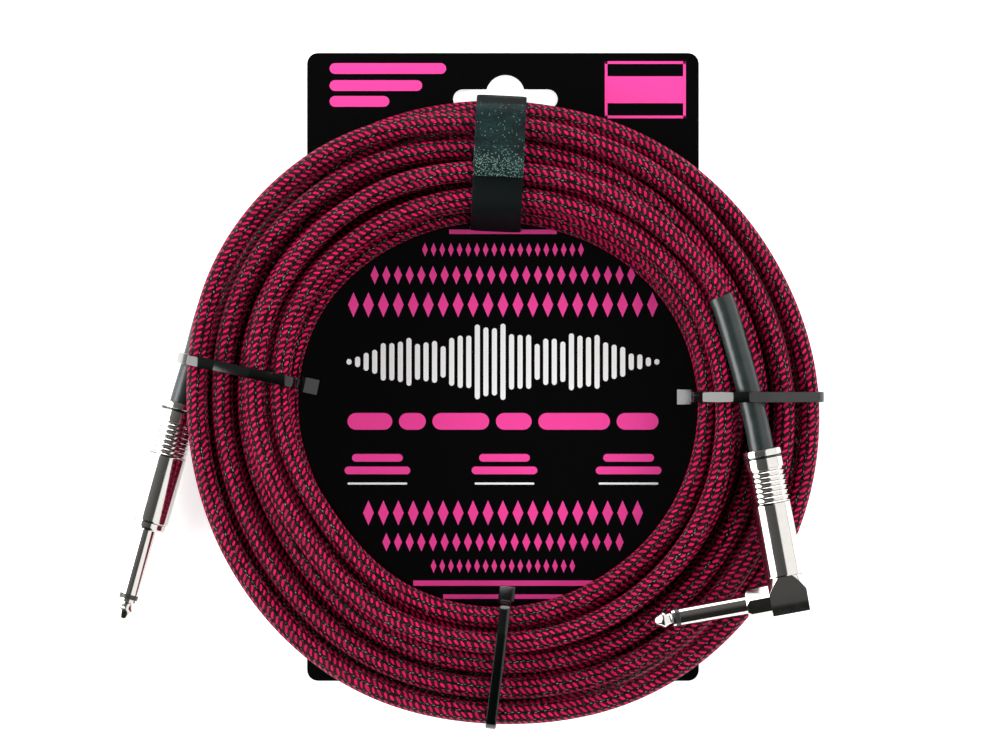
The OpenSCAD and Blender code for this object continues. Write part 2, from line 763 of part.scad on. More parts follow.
// Cable tie: closed band, head against its inner run, cut end of the tail out of the head
module cable_tie(wrap) {
    head_z = card_top + 13;
    head_sunk = 0.4;        // head into the band
    head_chamfer = 0.6;
    tail_stub = 1.6;        // cut tail out of the head
    tail_wall = 1.0;        // head's wall in front of the tail
    mouth_w = 1.1;
    mouth_depth = 2.4;
    band_in = inner_edge(wrap);
    color(black_plastic) in_coil() wrap_plan(wrap) {
        stand_up(wrap[2]) band_section(wrap);
        translate([band_in - wrap[3] - tie_head_l + head_sunk, 0, head_z]) difference() {
            union() {
                stand_up(tie_head_w) polygon([
                    [head_chamfer, 0], [tie_head_l, 0], [tie_head_l, tie_head_h],
                    [head_chamfer, tie_head_h], [0, tie_head_h - head_chamfer], [0, head_chamfer]
                ]);
                translate([tail_wall, -wrap[2] / 2, tie_head_h - 1])
                    cube([wrap[3], wrap[2], 1 + tail_stub]);
            }
            translate([tail_wall + wrap[3], -wrap[2] / 2, tie_head_h - mouth_depth])
                cube([mouth_w, wrap[2], mouth_depth + 1]);
        }
    }
}

module tie_left() {
    cable_tie(left_wrap);
}

module tie_right() {
    cable_tie(right_wrap);
}

module tie_bottom() {
    cable_tie(bottom_wrap);
}

module strap_band() {
    color(black_plastic) in_coil() wrap_plan(strap_wrap) stand_up(strap_w) band_section(strap_wrap);
}

// Free end of the strap, lying on the band from the coil's outer edge inwards
tab_hinge_s = 102.5;
tab_gap = 0.1;

module strap_tab() {
    color(black_plastic) in_coil() wrap_plan(strap_wrap) stand_up(strap_w) intersection() {
        difference() {
            offset(r = 2 * strap_t + tab_gap, $fn = 32) bundle_section(strap_wrap);
            offset(r = strap_t + tab_gap, $fn = 32) bundle_section(strap_wrap);
        }
        translate([tab_hinge_s - tab_len, layer_z(1)]) square([tab_len, 2 * layers * cable_d]);
    }
}

cable_coil();
straight_cable_tail();
angle_cable_tail();
straight_tip();
straight_insulator();
straight_sleeve();
straight_ground_lug();
straight_washer();
straight_terminal();
straight_core_wire();
straight_shield_wire();
straight_inner_tube();
straight_barrel();
straight_barrel_ring();
straight_boot();
angle_tip();
angle_insulator();
angle_sleeve();
angle_elbow();
angle_ground_lug();
angle_washer();
angle_terminal();
angle_core_wire();
angle_shield_wire();
angle_inner_tube();
angle_barrel();
angle_barrel_ring();
angle_boot();
backing_card();
tie_left();
tie_right();
tie_bottom();
strap_band();
strap_tab();
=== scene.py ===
import bpy
import math
from mathutils import Matrix, Vector


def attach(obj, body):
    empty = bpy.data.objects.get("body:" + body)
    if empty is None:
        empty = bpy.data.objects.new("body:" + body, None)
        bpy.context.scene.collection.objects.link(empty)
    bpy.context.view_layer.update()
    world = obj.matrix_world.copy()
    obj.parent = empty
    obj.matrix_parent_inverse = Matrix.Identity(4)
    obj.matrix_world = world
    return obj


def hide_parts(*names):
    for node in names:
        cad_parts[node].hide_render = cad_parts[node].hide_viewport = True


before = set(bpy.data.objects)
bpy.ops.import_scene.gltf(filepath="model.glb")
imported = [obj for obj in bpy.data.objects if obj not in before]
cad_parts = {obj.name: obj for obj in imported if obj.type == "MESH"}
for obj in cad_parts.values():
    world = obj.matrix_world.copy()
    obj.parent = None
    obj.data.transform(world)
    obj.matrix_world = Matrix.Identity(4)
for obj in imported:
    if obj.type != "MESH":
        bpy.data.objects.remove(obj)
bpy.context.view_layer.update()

mm = 0.001
up = Vector((0, 0, 1))
print("frame loaded:", len(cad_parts), "nodes")


def clearPick():
    if bpy.context.object and bpy.context.object.mode != "OBJECT":
        bpy.ops.object.mode_set(mode="OBJECT")
    bpy.ops.object.select_all(action="DESELECT")


def pick(piece):
    clearPick()
    piece.select_set(True)
    bpy.context.view_layer.objects.active = piece


def linear(hexColour):
    # sRGB hex to the linear values Blender mixes with
    parts = [int(hexColour[i:i + 2], 16) / 255 for i in (1, 3, 5)]
    return tuple(c / 12.92 if c <= 0.04045 else ((c + 0.055) / 1.055) ** 2.4 for c in parts) + (1.0,)


def feed(socket, value):
    # a socket takes a node's first output, another socket or a fixed value
    if isinstance(value, bpy.types.Node):
        value = value.outputs[0]
    if isinstance(value, bpy.types.NodeSocket):
        socket.id_data.links.new(value, socket)
    else:
        socket.default_value = value


# what a maths node does, and the soft ramp of a range node
addUp, takeOff, multiply, divide, toPower, roundDown, fraction, absolute, larger, sineOf, multiplyAdd, lessThan = (
    {"operation": operation} for operation in (
        "ADD", "SUBTRACT", "MULTIPLY", "DIVIDE", "POWER", "FLOOR", "FRACT", "ABSOLUTE", "MAXIMUM", "SINE",
        "MULTIPLY_ADD", "LESS_THAN"))
softRamp = {"interpolation_type": "SMOOTHSTEP"}


def addNode(tree, kind, settings=None, inputs=None):
    # one node with its settings and what feeds it
    node = tree.nodes.new("ShaderNode" + kind)
    for key, value in (settings or {}).items():
        setattr(node, key, value)
    for key, value in (inputs or {}).items():
        feed(node.inputs[key], value)
    return node


def newMaterial(name):
    material = bpy.data.materials.new(name)
    material.use_nodes = True
    tree = material.node_tree
    tree.nodes.clear()
    surface = addNode(tree, "BsdfPrincipled")
    addNode(tree, "OutputMaterial", inputs={"Surface": surface})
    return material, tree, surface


def setFinish(surface, **values):
    names = {"colour": "Base Color", "normal": "Normal", "metallic": "Metallic", "roughness": "Roughness",
             "ior": "IOR", "specular": "Specular IOR Level", "glow": "Emission Strength",
             "glowColour": "Emission Color"}
    for key, value in values.items():
        feed(surface.inputs[names[key]], value)


def grained(name, spot, colours, relief, toneSpot=None, **finish):
    # a material of two colours and a faint relief that both follow a noise: its (scale, detail), the colours,
    # the relief's (strength, mm); the colours may follow a noise of their own
    material, tree, surface = newMaterial(name)
    where = addNode(tree, "TexCoord").outputs["Object"]
    grain, tone = (addNode(tree, "TexNoise", inputs={"Vector": where, "Scale": scale, "Detail": detail})
                   for scale, detail in (spot, toneSpot or spot))
    colour = addNode(tree, "MixRGB", inputs={"Fac": tone, "Color1": linear(colours[0]), "Color2": linear(colours[1])})
    bump = addNode(tree, "Bump", inputs={"Height": grain, "Strength": relief[0], "Distance": relief[1] * mm})
    setFinish(surface, colour=colour, normal=bump, **finish)
    return material


def meshPiece(name, points, edges, faces, maps=None):
    # a new piece from its points; the map has one pair for each face corner in turn
    mesh = bpy.data.meshes.new(name)
    mesh.from_pydata(points, edges, faces)
    if maps:
        mesh.uv_layers.new(name="weaveMap").data.foreach_set("uv", [c for uv in maps for c in uv])
    piece = bpy.data.objects.new(name, mesh)
    bpy.context.scene.collection.objects.link(piece)
    return piece


def spin(piece):
    # turns an outline once round Z, as on a lathe, and stays in edit mode
    pick(piece)
    bpy.ops.object.mode_set(mode="EDIT")
    bpy.ops.mesh.select_all(action="SELECT")
    bpy.ops.mesh.spin(steps=plug["steps"], angle=2 * math.pi, center=(0, 0, 0), axis=(0, 0, 1))
    bpy.ops.mesh.select_all(action="SELECT")
    bpy.ops.mesh.remove_doubles(threshold=0.0005)
    bpy.ops.mesh.normals_make_consistent(inside=False)


def roundEdges(piece, width, segments, fromDegrees):
    bevel = piece.modifiers.new("edgeRound", "BEVEL")
    bevel.width, bevel.segments, bevel.limit_method = width, segments, "ANGLE"
    bevel.angle_limit = math.radians(fromDegrees)
    bpy.ops.object.modifier_apply(modifier="edgeRound")


def smoothUnder(degrees):
    bpy.ops.object.shade_smooth_by_angle(angle=math.radians(degrees))


def complete(piece, finish, node=None, body="tied_cable"):
    # its finish, the body it rides on, and the solid it is drawn in place of
    dress(piece, finish)
    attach(piece, body)
    if node:
        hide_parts(node)
    return piece


def dress(piece, material):
    piece.data.materials.clear()
    piece.data.materials.append(material)


cameraSetup = {
    "lookAt": (0.0, 5.1 * mm, 12 * mm),
    "height": 3.0,
    "viewWidth": 333.3 * mm,
    "sensor": 36.0,
}


def makeCamera():
    clearPick()
    look = Vector(cameraSetup["lookAt"])
    distance = cameraSetup["height"]
    bpy.ops.object.camera_add(location=look + up * distance, rotation=(0, 0, 0))
    camera = bpy.context.object
    camera.name = "mainCamera"
    camera.data.sensor_width = cameraSetup["sensor"]
    camera.data.lens = cameraSetup["sensor"] * distance / cameraSetup["viewWidth"]
    camera.data.clip_end = 20
    camera.data.dof.use_dof = False
    bpy.context.scene.camera = camera


makeCamera()
print("camera made")


cable = {
    "diameter": 7.0 * mm,
    "outerR": 102.2, "innerR": 66.9,          # coil, to the middle of the cable, in mm
    "turnsPerLayer": 4.18, "topTurns": 1.72,
    "layerGap": 0.5, "sleeveLift": 0.5, "firstZ": 5.7,
    "startAngle": 138.0, "climbTurns": 0.5,
    "coilCentre": (1.0, -7.7),
    "stepsPerTurn": 190, "sides": 18,
    "rowPitch": 2.2, "columns": 8,            # braid: mm from dash to dash, columns round the cable
    # hand-wound turns lie off true round: every 30 degrees, the inner turn out by and the outer turn out by
    "drift": [(0, 0), (1.5, -2.5), (0.5, -0.8), (0, 0), (2.5, 8.2), (6, 8.8), (3.8, 4), (-1, 2.8), (0, 2), (0, 0),
              (-0.3, 2), (-0.3, 2)],
    "driftShare": [(0.7, 0.2), (0.7, 0.0), (1, 1), (1, 1)],       # how much of both each layer takes
}
layerPitch = 7.0 + cable["layerGap"]
coilTurns = 3 * cable["turnsPerLayer"] + cable["topTurns"]
spiralPitch = (cable["outerR"] - cable["innerR"]) / cable["turnsPerLayer"]


def layerZ(layer):
    return cable["firstZ"] + layer * layerPitch + (cable["sleeveLift"] if layer > 0 else 0)


def byLayer(t, values):
    # the value of the layer that turn t is in, eased over each climb
    layer = max(1, min(3, round(t / cable["turnsPerLayer"])))
    f = max(0, min(1, (t - layer * cable["turnsPerLayer"]) / cable["climbTurns"] + 0.5))
    return values[layer - 1] + (values[layer] - values[layer - 1]) * f


def driftAt(degrees):
    # a smooth curve through the drift table, once round
    u = degrees % 360 / 30
    i, w = int(u), u % 1
    p0, p1, p2, p3 = (Vector(cable["drift"][(i + j) % 12]) for j in (-1, 0, 1, 2))
    return (2 * p1 + (p2 - p0) * w + (2 * p0 - 5 * p1 + 4 * p2 - p3) * w ** 2 + (3 * p1 - p0 - 3 * p2 + p3) * w ** 3) / 2


def coilR(t):
    layer = min(3, int(t // cable["turnsPerLayer"]))
    f = t - layer * cable["turnsPerLayer"]
    r = cable["outerR"] - spiralPitch * f if layer % 2 == 0 else cable["innerR"] + spiralPitch * f
    out = (r - cable["innerR"]) / (cable["outerR"] - cable["innerR"])
    drift = driftAt(cable["startAngle"] - 360 * t)
    share = byLayer(t, [Vector(pair) for pair in cable["driftShare"]])
    return r + share[0] * drift[0] * (1 - out) + share[1] * drift[1] * out


def coilZ(t):
    return byLayer(t, [layerZ(layer) for layer in range(4)])


def coilPoint(t):
    a = math.radians(cable["startAngle"] - 360 * t)
    return Vector((coilR(t) * math.cos(a), coilR(t) * math.sin(a), coilZ(t)))


def coilHeading(t):
    a = math.radians(cable["startAngle"] - 360 * t)
    return Vector((math.sin(a), -math.cos(a), 0))


def place(point):
    # from mm about the coil's middle to metres in the frame
    return Vector(((point[0] + cable["coilCentre"][0]) * mm, (point[1] + cable["coilCentre"][1]) * mm, point[2] * mm))


def outFrom(start, headingDeg, s):
    a = math.radians(headingDeg)
    return Vector(start) + s * Vector((math.cos(a), math.sin(a), 0))


def smoothLine(points, step):
    # a curve through all the points, cut in pieces of about step
    line = []
    last = len(points) - 1
    for i in range(last):
        p0, p1, p2, p3 = points[max(0, i - 1)], points[i], points[i + 1], points[min(last, i + 2)]
        pieces = max(1, round((p2 - p1).length / step))
        m1 = (p2 - p0) * 0.5 * min(1, (p2 - p1).length / max(1e-9, (p1 - p0).length)) if i > 0 else (p2 - p1)
        m2 = (p3 - p1) * 0.5 * min(1, (p2 - p1).length / max(1e-9, (p3 - p2).length)) if i + 2 <= last else (p2 - p1)
        for k in range(pieces):
            f = k / pieces
            line.append((2 * f ** 3 - 3 * f ** 2 + 1) * p1 + (f ** 3 - 2 * f ** 2 + f) * m1
                        + (3 * f ** 2 - 2 * f ** 3) * p2 + (f ** 3 - f ** 2) * m2)
    return line + [points[-1]]


straightPlug = {"tipAt": (-127.0, -68.8, 7.0), "heading": 74.6, "threadStart": 33.7, "barrelLen": 41.1}
anglePlug = {"elbowAt": (94.5, -60.5, 31.7), "heading": 100.4, "threadStart": 6.8, "barrelLen": 42.6,
             "shaftBase": 45.2}
threadLen = 6.0
tail = {"cutEnd": 17.4, "sleeved": 26.0, "past": 8, "lead": 7.0, "leadOn": 2, "step": 2.6}        # mm
straightRear = straightPlug["threadStart"] + straightPlug["barrelLen"]
angleRear = anglePlug["threadStart"] + anglePlug["barrelLen"]

# from each plug to the coil: degrees round, mm out from the outer turn and height; then points in mm
straightPlaces = [(170.06, 2.07, 5.9), (165.21, 2.1, 5.7), (160.08, 2.2, 5.7), (154.59, 2.3, 5.7),
                  (149.02, 2.35, 5.7), (144.13, 2.5, 5.7)]
anglePoints = [(81.9, 5.6, 31.7), (79.3, 15.4, 31.7), (76.4, 25.2, 31.5), (72.6, 38.5, 30.7), (68.6, 46.0, 29.7)]


def routePoints():
    # the whole cable from the straight plug's cut end round the coil to the angle plug's
    threadEnd = straightPlug["threadStart"] + threadLen
    tip, heading = straightPlug["tipAt"], straightPlug["heading"]
    first = [outFrom(tip, heading, s)
             for s in (threadEnd + tail["cutEnd"], threadEnd + tail["sleeved"], straightRear + tail["past"])]
    for degrees, out, z in straightPlaces:
        a, r = math.radians(degrees), cable["outerR"] + out
        first.append(Vector((r * math.cos(a), r * math.sin(a), z)))
    entry = coilPoint(0) - tail["lead"] * coilHeading(0)
    first += [entry - tail["leadOn"] * coilHeading(0), entry, coilPoint(0)]
    threadEnd = anglePlug["threadStart"] + threadLen
    elbow, heading = anglePlug["elbowAt"], anglePlug["heading"]
    leave = coilPoint(coilTurns) + tail["lead"] * coilHeading(coilTurns)
    last = [coilPoint(coilTurns), leave, leave + tail["leadOn"] * coilHeading(coilTurns)]
    last += [Vector(p) for p in reversed(anglePoints)]
    last += [outFrom(elbow, heading, s)
             for s in (angleRear + tail["past"], threadEnd + tail["sleeved"], threadEnd + tail["cutEnd"])]
    steps = round(coilTurns * cable["stepsPerTurn"])
    coil = [coilPoint(coilTurns * i / steps) for i in range(1, steps)]
    return smoothLine(first, tail["step"]), coil, smoothLine(last, tail["step"])


def evenLine(points, rounds):
    # takes the corners out of a line, its ends kept
    line = [Vector(p) for p in points]
    for _ in range(rounds):
        inner = [(a + 2 * b + c) / 4 for a, b, c in zip(line, line[1:], line[2:])]
        line = [line[0]] + inner + [line[-1]]
    return line


def tubeRings(line, radii, sides):
    # rings square to the line, and each ring's distance along it
    rings, along, walked = [], [], 0.0
    turns = [(math.cos(2 * math.pi * k / sides), math.sin(2 * math.pi * k / sides)) for k in range(sides)]
    for i, p in enumerate(line):
        ahead = (line[min(i + 1, len(line) - 1)] - line[max(i - 1, 0)]).normalized()
        side = ahead.cross(up).normalized()
        above = side.cross(ahead)
        if i:
            walked += (p - line[i - 1]).length
        along.append(walked)
        r = radii[i] if isinstance(radii, list) else radii
        rings.append([p + r * (across * side + rise * above) for across, rise in turns])
    return rings, along


def tubeMesh(name, rings, along):
    # a closed tube from its rings, with a map of metres along it and share of a turn round it
    sides, last = len(rings[0]), len(rings) - 1
    faces, maps = [], []
    for i in range(last):
        for k in range(sides):
            n = (k + 1) % sides
            faces.append((i * sides + k, i * sides + n, (i + 1) * sides + n, (i + 1) * sides + k))
            maps += [(along[i + far], (k + on) / sides) for far, on in ((0, 0), (0, 1), (1, 1), (1, 0))]
    faces.append(tuple(reversed(range(sides))))
    maps += [(0.0, k / sides) for k in reversed(range(sides))]
    faces.append(tuple(last * sides + k for k in range(sides)))
    maps += [(along[-1], k / sides) for k in range(sides)]
    piece = meshPiece(name, [p for ring in rings for p in ring], [], faces, maps)
    piece.data.polygons.foreach_set("use_smooth", [True] * len(faces))
    return piece


def outwards(piece, merge=0.0):
    pick(piece)
    bpy.ops.object.mode_set(mode="EDIT")
    bpy.ops.mesh.select_all(action="SELECT")
    if merge:
        bpy.ops.mesh.remove_doubles(threshold=merge)
    bpy.ops.mesh.normals_make_consistent(inside=False)
    bpy.ops.object.mode_set(mode="OBJECT")


braid = {
    # the cross yarn runs from its own charcoal to a pale grey that is a painted highlight
    "red": ("#E4105C", "#B00E48"), "crossYarnGlint": ("#1C2224", "#929A94"), "darkYarn": "#3A0618", "gap": "#040202",
    "dashWide": 0.25, "dashLong": 0.35,        # half a dash, as shares of a row and of a column
    "columnShift": 0.37, "lean": 0.88,         # rows a dash climbs over its column, 2.75 mm wide
    "wobble": 0.55,                            # uneven weaving, in rows
}


def yarnMark(tree, across, along, fade):
    # a mark with soft round ends: for each way, how far from its middle, half its size and how square it is;
    # it fades out between two levels
    terms = []
    for offset, half, power in (across, along):
        share = addNode(tree, "Math", divide, {0: offset, 1: half})
        terms.append(addNode(tree, "Math", toPower, {0: share, 1: power}))
    reach = addNode(tree, "Math", addUp, {0: terms[0], 1: terms[1]})
    return addNode(tree, "MapRange", softRamp, {"Value": reach, "From Min": fade[0], "From Max": fade[1]})


def braidMaterial():
    # woven polyester braid: crimson and black-purple yarns that lean across each column, charcoal yarns of the
    # other lay between columns, black in the gaps, with painted shade towards the cable's edges; one yarn is 1.1 mm,
    # close to the real 1 mm
    material, tree, surface = newMaterial("wovenPolyesterBraid")
    uv = addNode(tree, "UVMap", {"uv_map": "weaveMap"})
    parts = addNode(tree, "SeparateXYZ", inputs={"Vector": uv})
    spot = addNode(tree, "TexCoord").outputs["Object"]
    uneven = addNode(tree, "TexNoise", inputs={"Vector": spot, "Scale": 330.0, "Detail": 1.0})
    shift = addNode(tree, "SeparateXYZ", inputs={"Vector": uneven.outputs["Color"]})
    evenAlong = addNode(tree, "Math", multiply, {0: parts.outputs["X"], 1: 1000.0 / cable["rowPitch"]})
    evenTurns = addNode(tree, "Math", multiply, {0: parts.outputs["Y"], 1: float(cable["columns"])})
    along = addNode(tree, "Math", multiplyAdd, {0: shift.outputs["X"], 1: braid["wobble"], 2: evenAlong})
    turns = addNode(tree, "Math", multiplyAdd, {0: shift.outputs["Y"], 1: braid["wobble"] * 0.5, 2: evenTurns})
    column = addNode(tree, "Math", roundDown, {0: turns})
    across = addNode(tree, "Math", fraction, {0: turns})
    lean = addNode(tree, "Math", multiply, {0: across, 1: braid["lean"]})
    stagger = addNode(tree, "Math", multiply, {0: column, 1: braid["columnShift"]})
    leant = addNode(tree, "Math", addUp, {0: along, 1: lean})
    rows = addNode(tree, "Math", addUp, {0: leant, 1: stagger})
    row = addNode(tree, "Math", fraction, {0: rows})
    fromRow, fromColumn = (
        addNode(tree, "Math", absolute, {0: addNode(tree, "Math", takeOff, {0: share, 1: 0.5})})
        for share in (row, across))
    # yarn to yarn variation along the cable
    rowNumber = addNode(tree, "Math", roundDown, {0: rows})
    yarnSpot = addNode(tree, "CombineXYZ", inputs={"X": rowNumber, "Y": column})
    vary = addNode(tree, "TexWhiteNoise", {"noise_dimensions": "2D"}, {"Vector": yarnSpot})
    varyParts = addNode(tree, "SeparateXYZ", inputs={"Vector": vary.outputs["Color"]})
    # red yarn: a rounded dash, some longer than others
    longer = addNode(tree, "MapRange", inputs={
        "Value": varyParts.outputs["X"], "To Min": braid["dashLong"] * 0.78, "To Max": braid["dashLong"] * 1.2})
    dashMask = yarnMark(tree, (fromRow, braid["dashWide"], 2.0), (fromColumn, longer, 4.0), (1.2, 0.7))
    # dark yarn between two red ones
    betweenRows = addNode(tree, "Math", takeOff, {0: 0.5, 1: fromRow})
    darkMask = yarnMark(tree, (betweenRows, 0.21, 2.0), (fromColumn, 0.42, 4.0), (1.2, 0.6))
    # yarn of the other lay at the dash's end where it comes up at all: charcoal yarn, with its pale tone a painted
    # highlight
    crossMoved = addNode(tree, "Math", addUp, {0: rows, 1: 0.25})
    crossRow = addNode(tree, "Math", fraction, {0: crossMoved})
    fromCross = addNode(tree, "Math", takeOff, {0: crossRow, 1: 0.5})
    fromEdge = addNode(tree, "Math", takeOff, {0: 0.5, 1: fromColumn})
    fleckShape = yarnMark(tree, (fromCross, 0.22, 2.0), (fromEdge, 0.13, 2.0), (1.1, 0.4))
    fleckChance = addNode(tree, "MapRange", inputs={
        "Value": varyParts.outputs["Y"], "From Min": 0.25, "From Max": 0.7})
    fleckMask = addNode(tree, "Math", multiply, {0: fleckShape, 1: fleckChance})
    red, crossYarnGlint = (
        addNode(tree, "MixRGB", inputs={"Fac": chance, "Color1": linear(braid[yarn][0]),
                                        "Color2": linear(braid[yarn][1])})
        for yarn, chance in (("red", vary.outputs["Value"]), ("crossYarnGlint", varyParts.outputs["Z"])))
    # painted shade: the colour darkens to the gap colour where the surface turns away from the camera, towards the
    # cable's edges
    facing = addNode(tree, "LayerWeight", inputs={"Blend": 0.5})
    paintedEdgeShade = addNode(tree, "MapRange", softRamp, {
        "Value": facing.outputs["Facing"], "From Min": 0.55, "From Max": 1.0, "To Min": 0.0, "To Max": 0.75})
    colour = linear(braid["gap"])
    for mask, over in ((darkMask, linear(braid["darkYarn"])), (dashMask, red), (fleckMask, crossYarnGlint),
                       (paintedEdgeShade, linear(braid["gap"]))):
        colour = addNode(tree, "MixRGB", inputs={"Fac": mask, "Color1": colour, "Color2": over})
    # fine filaments along each yarn, about four to a yarn
    wave = addNode(tree, "Math", multiply, {0: rows, 1: 2 * math.pi * 8})
    filaments = addNode(tree, "Math", sineOf, {0: wave})
    darkHeight = addNode(tree, "Math", multiply, {0: darkMask, 1: 0.8})
    fleckHeight = addNode(tree, "Math", multiply, {0: fleckMask, 1: 0.75})
    yarn = addNode(tree, "Math", larger, {0: dashMask, 1: darkHeight})
    yarns = addNode(tree, "Math", larger, {0: yarn, 1: fleckHeight})
    height = addNode(tree, "Math", multiplyAdd, {0: filaments, 1: 0.06, 2: yarns})
    bump = addNode(tree, "Bump", inputs={"Height": height, "Strength": 0.9, "Distance": 0.4 * mm})
    setFinish(surface, colour=colour, normal=bump, roughness=0.5, specular=0.08)
    return material


def makeCable():
    first, coil, last = routePoints()
    line = evenLine([place(p) for p in first + coil + last], 8)
    rings, along = tubeRings(line, cable["diameter"] / 2, cable["sides"])
    piece = tubeMesh("braidedCable", rings, along)
    dress(piece, braidMaterial())
    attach(piece, "tied_cable")
    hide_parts("cable_coil", "straight_cable_tail", "angle_cable_tail")
    length = along[-1]
    print("cable:", round(length, 3), "m,", len(piece.data.polygons), "faces")
    return piece, line, length


cablePiece, cableLine, cableLength = makeCable()


def sleeveMaterial():
    # polyolefin heat-shrink: dark green-black, satin, faintly uneven where it took the braid's shape
    material, tree, surface = newMaterial("shrunkPolyolefinSleeve")
    where = addNode(tree, "TexCoord").outputs["Object"]
    soft = addNode(tree, "TexNoise", inputs={"Vector": where, "Scale": 260.0, "Detail": 3.0})
    fine = addNode(tree, "TexNoise", inputs={"Vector": where, "Scale": 2200.0, "Detail": 2.0})
    colour = addNode(tree, "MixRGB", inputs={"Fac": soft, "Color1": linear("#121B1C"), "Color2": linear("#273231")})
    softHeight = addNode(tree, "Math", multiply, {0: soft, 1: 0.8})
    height = addNode(tree, "Math", multiplyAdd, {0: fine, 1: 0.2, 2: softHeight})
    bump = addNode(tree, "Bump", inputs={"Height": height, "Strength": 0.5, "Distance": 0.3 * mm})
    setFinish(surface, colour=colour, normal=bump, roughness=0.33, specular=0.5)
    return material


sleeve = {"startD": 8.4, "endD": 8.0, "gap": 0.12, "startLip": 0.1, "endLip": 0.12, "lipRings": 1.6, "waist": 0.1,
          "lipRound": 0.35, "sides": 28}


def makeSleeve(name, node, line, material):
    # a shrunk tube on the cable with a soft lip at each end
    count, sides = len(line), sleeve["sides"]
    outer = []
    for i in range(count):
        f = i / (count - 1)
        lip = (sleeve["endLip"] * math.exp(-((1 - f) * count / sleeve["lipRings"]) ** 2)
               + sleeve["startLip"] * math.exp(-(f * count / sleeve["lipRings"]) ** 2))
        straight = (sleeve["startD"] + (sleeve["endD"] - sleeve["startD"]) * f) / 2
        outer.append((straight + lip - sleeve["waist"] * math.sin(f * math.pi) ** 2) * mm)
    rings = tubeRings(line, outer, sides)[0]
    innerRings = tubeRings(line, cable["diameter"] / 2 + sleeve["gap"] * mm, sides)[0]
    lips = [[a + (b - a) * sleeve["lipRound"] for a, b in zip(rings[end], innerRings[end])] for end in (0, -1)]
    loop = [lips[0]] + rings + [lips[1]] + list(reversed(innerRings))
    faces = []
    for i in range(len(loop)):
        j = (i + 1) % len(loop)
        for k in range(sides):
            n = (k + 1) % sides
            faces.append((i * sides + k, i * sides + n, j * sides + n, j * sides + k))
    piece = meshPiece(name, [p for ring in loop for p in ring], [], faces)
    outwards(piece)
    smoothUnder(50)
    return complete(piece, material, node)


def lineBetween(line, start, end):
    # the stretch of a line from one distance along it to another
    walked, part = 0.0, []
    for i, p in enumerate(line):
        if i:
            walked += (p - line[i - 1]).length
        if start - 1e-6 <= walked <= end + 1e-6:
            part.append(p)
    return part


sleeveFinish = sleeveMaterial()

straightSleeve = makeSleeve("straightSleeveTube", "straight_boot", lineBetween(cableLine, 8.6 * mm, 71.0 * mm),
                            sleeveFinish)
angleSleeve = makeSleeve("angleSleeveTube", "angle_boot", lineBetween(list(reversed(cableLine)), 8.6 * mm, 74.0 * mm),
                         sleeveFinish)
print("sleeves made")


def nickelMaterial():
    # bright nickel on turned brass: near mirror, slightly warm
    material, tree, surface = newMaterial("brightNickelPlate")
    where = addNode(tree, "TexCoord").outputs["Object"]
    cloud = addNode(tree, "TexNoise", inputs={"Vector": where, "Scale": 420.0, "Detail": 4.0})
    rough = addNode(tree, "MapRange", inputs={
        "Value": cloud, "From Min": 0.3, "From Max": 0.7, "To Min": 0.06, "To Max": 0.14})
    tint = addNode(tree, "MixRGB", inputs={"Fac": cloud, "Color1": linear("#D9D6D0"), "Color2": linear("#CDCBC8")})
    bump = addNode(tree, "Bump", inputs={"Height": cloud, "Strength": 0.05, "Distance": 0.05 * mm})
    setFinish(surface, colour=tint, normal=bump, roughness=rough, metallic=1.0)
    return material


def mouldedNylon(name, dark, light, roughness):
    # injection-moulded nylon: glossy skin with a faint orange peel
    return grained(name, (900.0, 2.0), (dark, light), (0.15, 0.1), roughness=roughness, ior=1.53, specular=0.5)


def strandMaterial():
    # tinned copper strand: bright grey with copper showing between the wires
    material, tree, surface = newMaterial("tinnedCopperStrand")
    where = addNode(tree, "TexCoord").outputs["Object"]
    strands = addNode(tree, "TexWave", {"wave_type": "BANDS", "bands_direction": "DIAGONAL"},
                      {"Vector": where, "Scale": 900.0, "Distortion": 1.5})
    wires = strands.outputs["Fac"]
    colour = addNode(tree, "MixRGB", inputs={"Fac": wires, "Color1": linear("#9A6238"), "Color2": linear("#C9BFB2")})
    bump = addNode(tree, "Bump", inputs={"Height": wires, "Strength": 0.4, "Distance": 0.1 * mm})
    setFinish(surface, colour=colour, normal=bump, metallic=1.0, roughness=0.35)
    return material


nickelFinish = nickelMaterial()
blackNylon = mouldedNylon("glossyBlackNylon", "#0B0C0D", "#17191A", 0.22)
insulatorFinish = mouldedNylon("blackInsulatorRing", "#1B1C1D", "#2E3031", 0.35)
milkyTube = mouldedNylon("milkyInsulatingTube", "#C9CCC4", "#DDE0DA", 0.4)
strandFinish = strandMaterial()
for prefix in ("straight_", "angle_"):
    for node, finish in (("ground_lug", nickelFinish), ("washer", insulatorFinish), ("terminal", nickelFinish),
                         ("core_wire", strandFinish), ("shield_wire", strandFinish), ("inner_tube", milkyTube)):
        dress(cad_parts[prefix + node], finish)


plug = {
    "shaftR": 3.175, "tipLen": 7.2, "ringLen": 1.4, "sleeveLen": 22.4, "shoulderR": 5.8,
    "threadR": 5.0, "rodR": 1.25, "linerR": 2.15,
    "barrelR": 6.3, "collarR": 6.6, "rearCollar": 2.2, "ringGroove": 0.8, "plainBand": 3.4,
    "grooves": 7, "groovePitch": 1.68, "ridgeR": 6.58, "valleyR": 5.95, "steps": 72,
    "longRun": 0.9, "support": 0.12,
    # one ridge: share of its height, mm along
    "ridge": [(0.0, 0.02), (0.5, 0.07), (0.88, 0.15), (1.0, 0.26), (0.92, 0.38), (0.66, 0.56), (0.32, 0.78),
              (0.06, 0.95), (0.0, 1.02), (0.0, 1.62)],
}
sleeveStart = plug["tipLen"] + plug["ringLen"]
sleeveEnd = sleeveStart + plug["sleeveLen"]


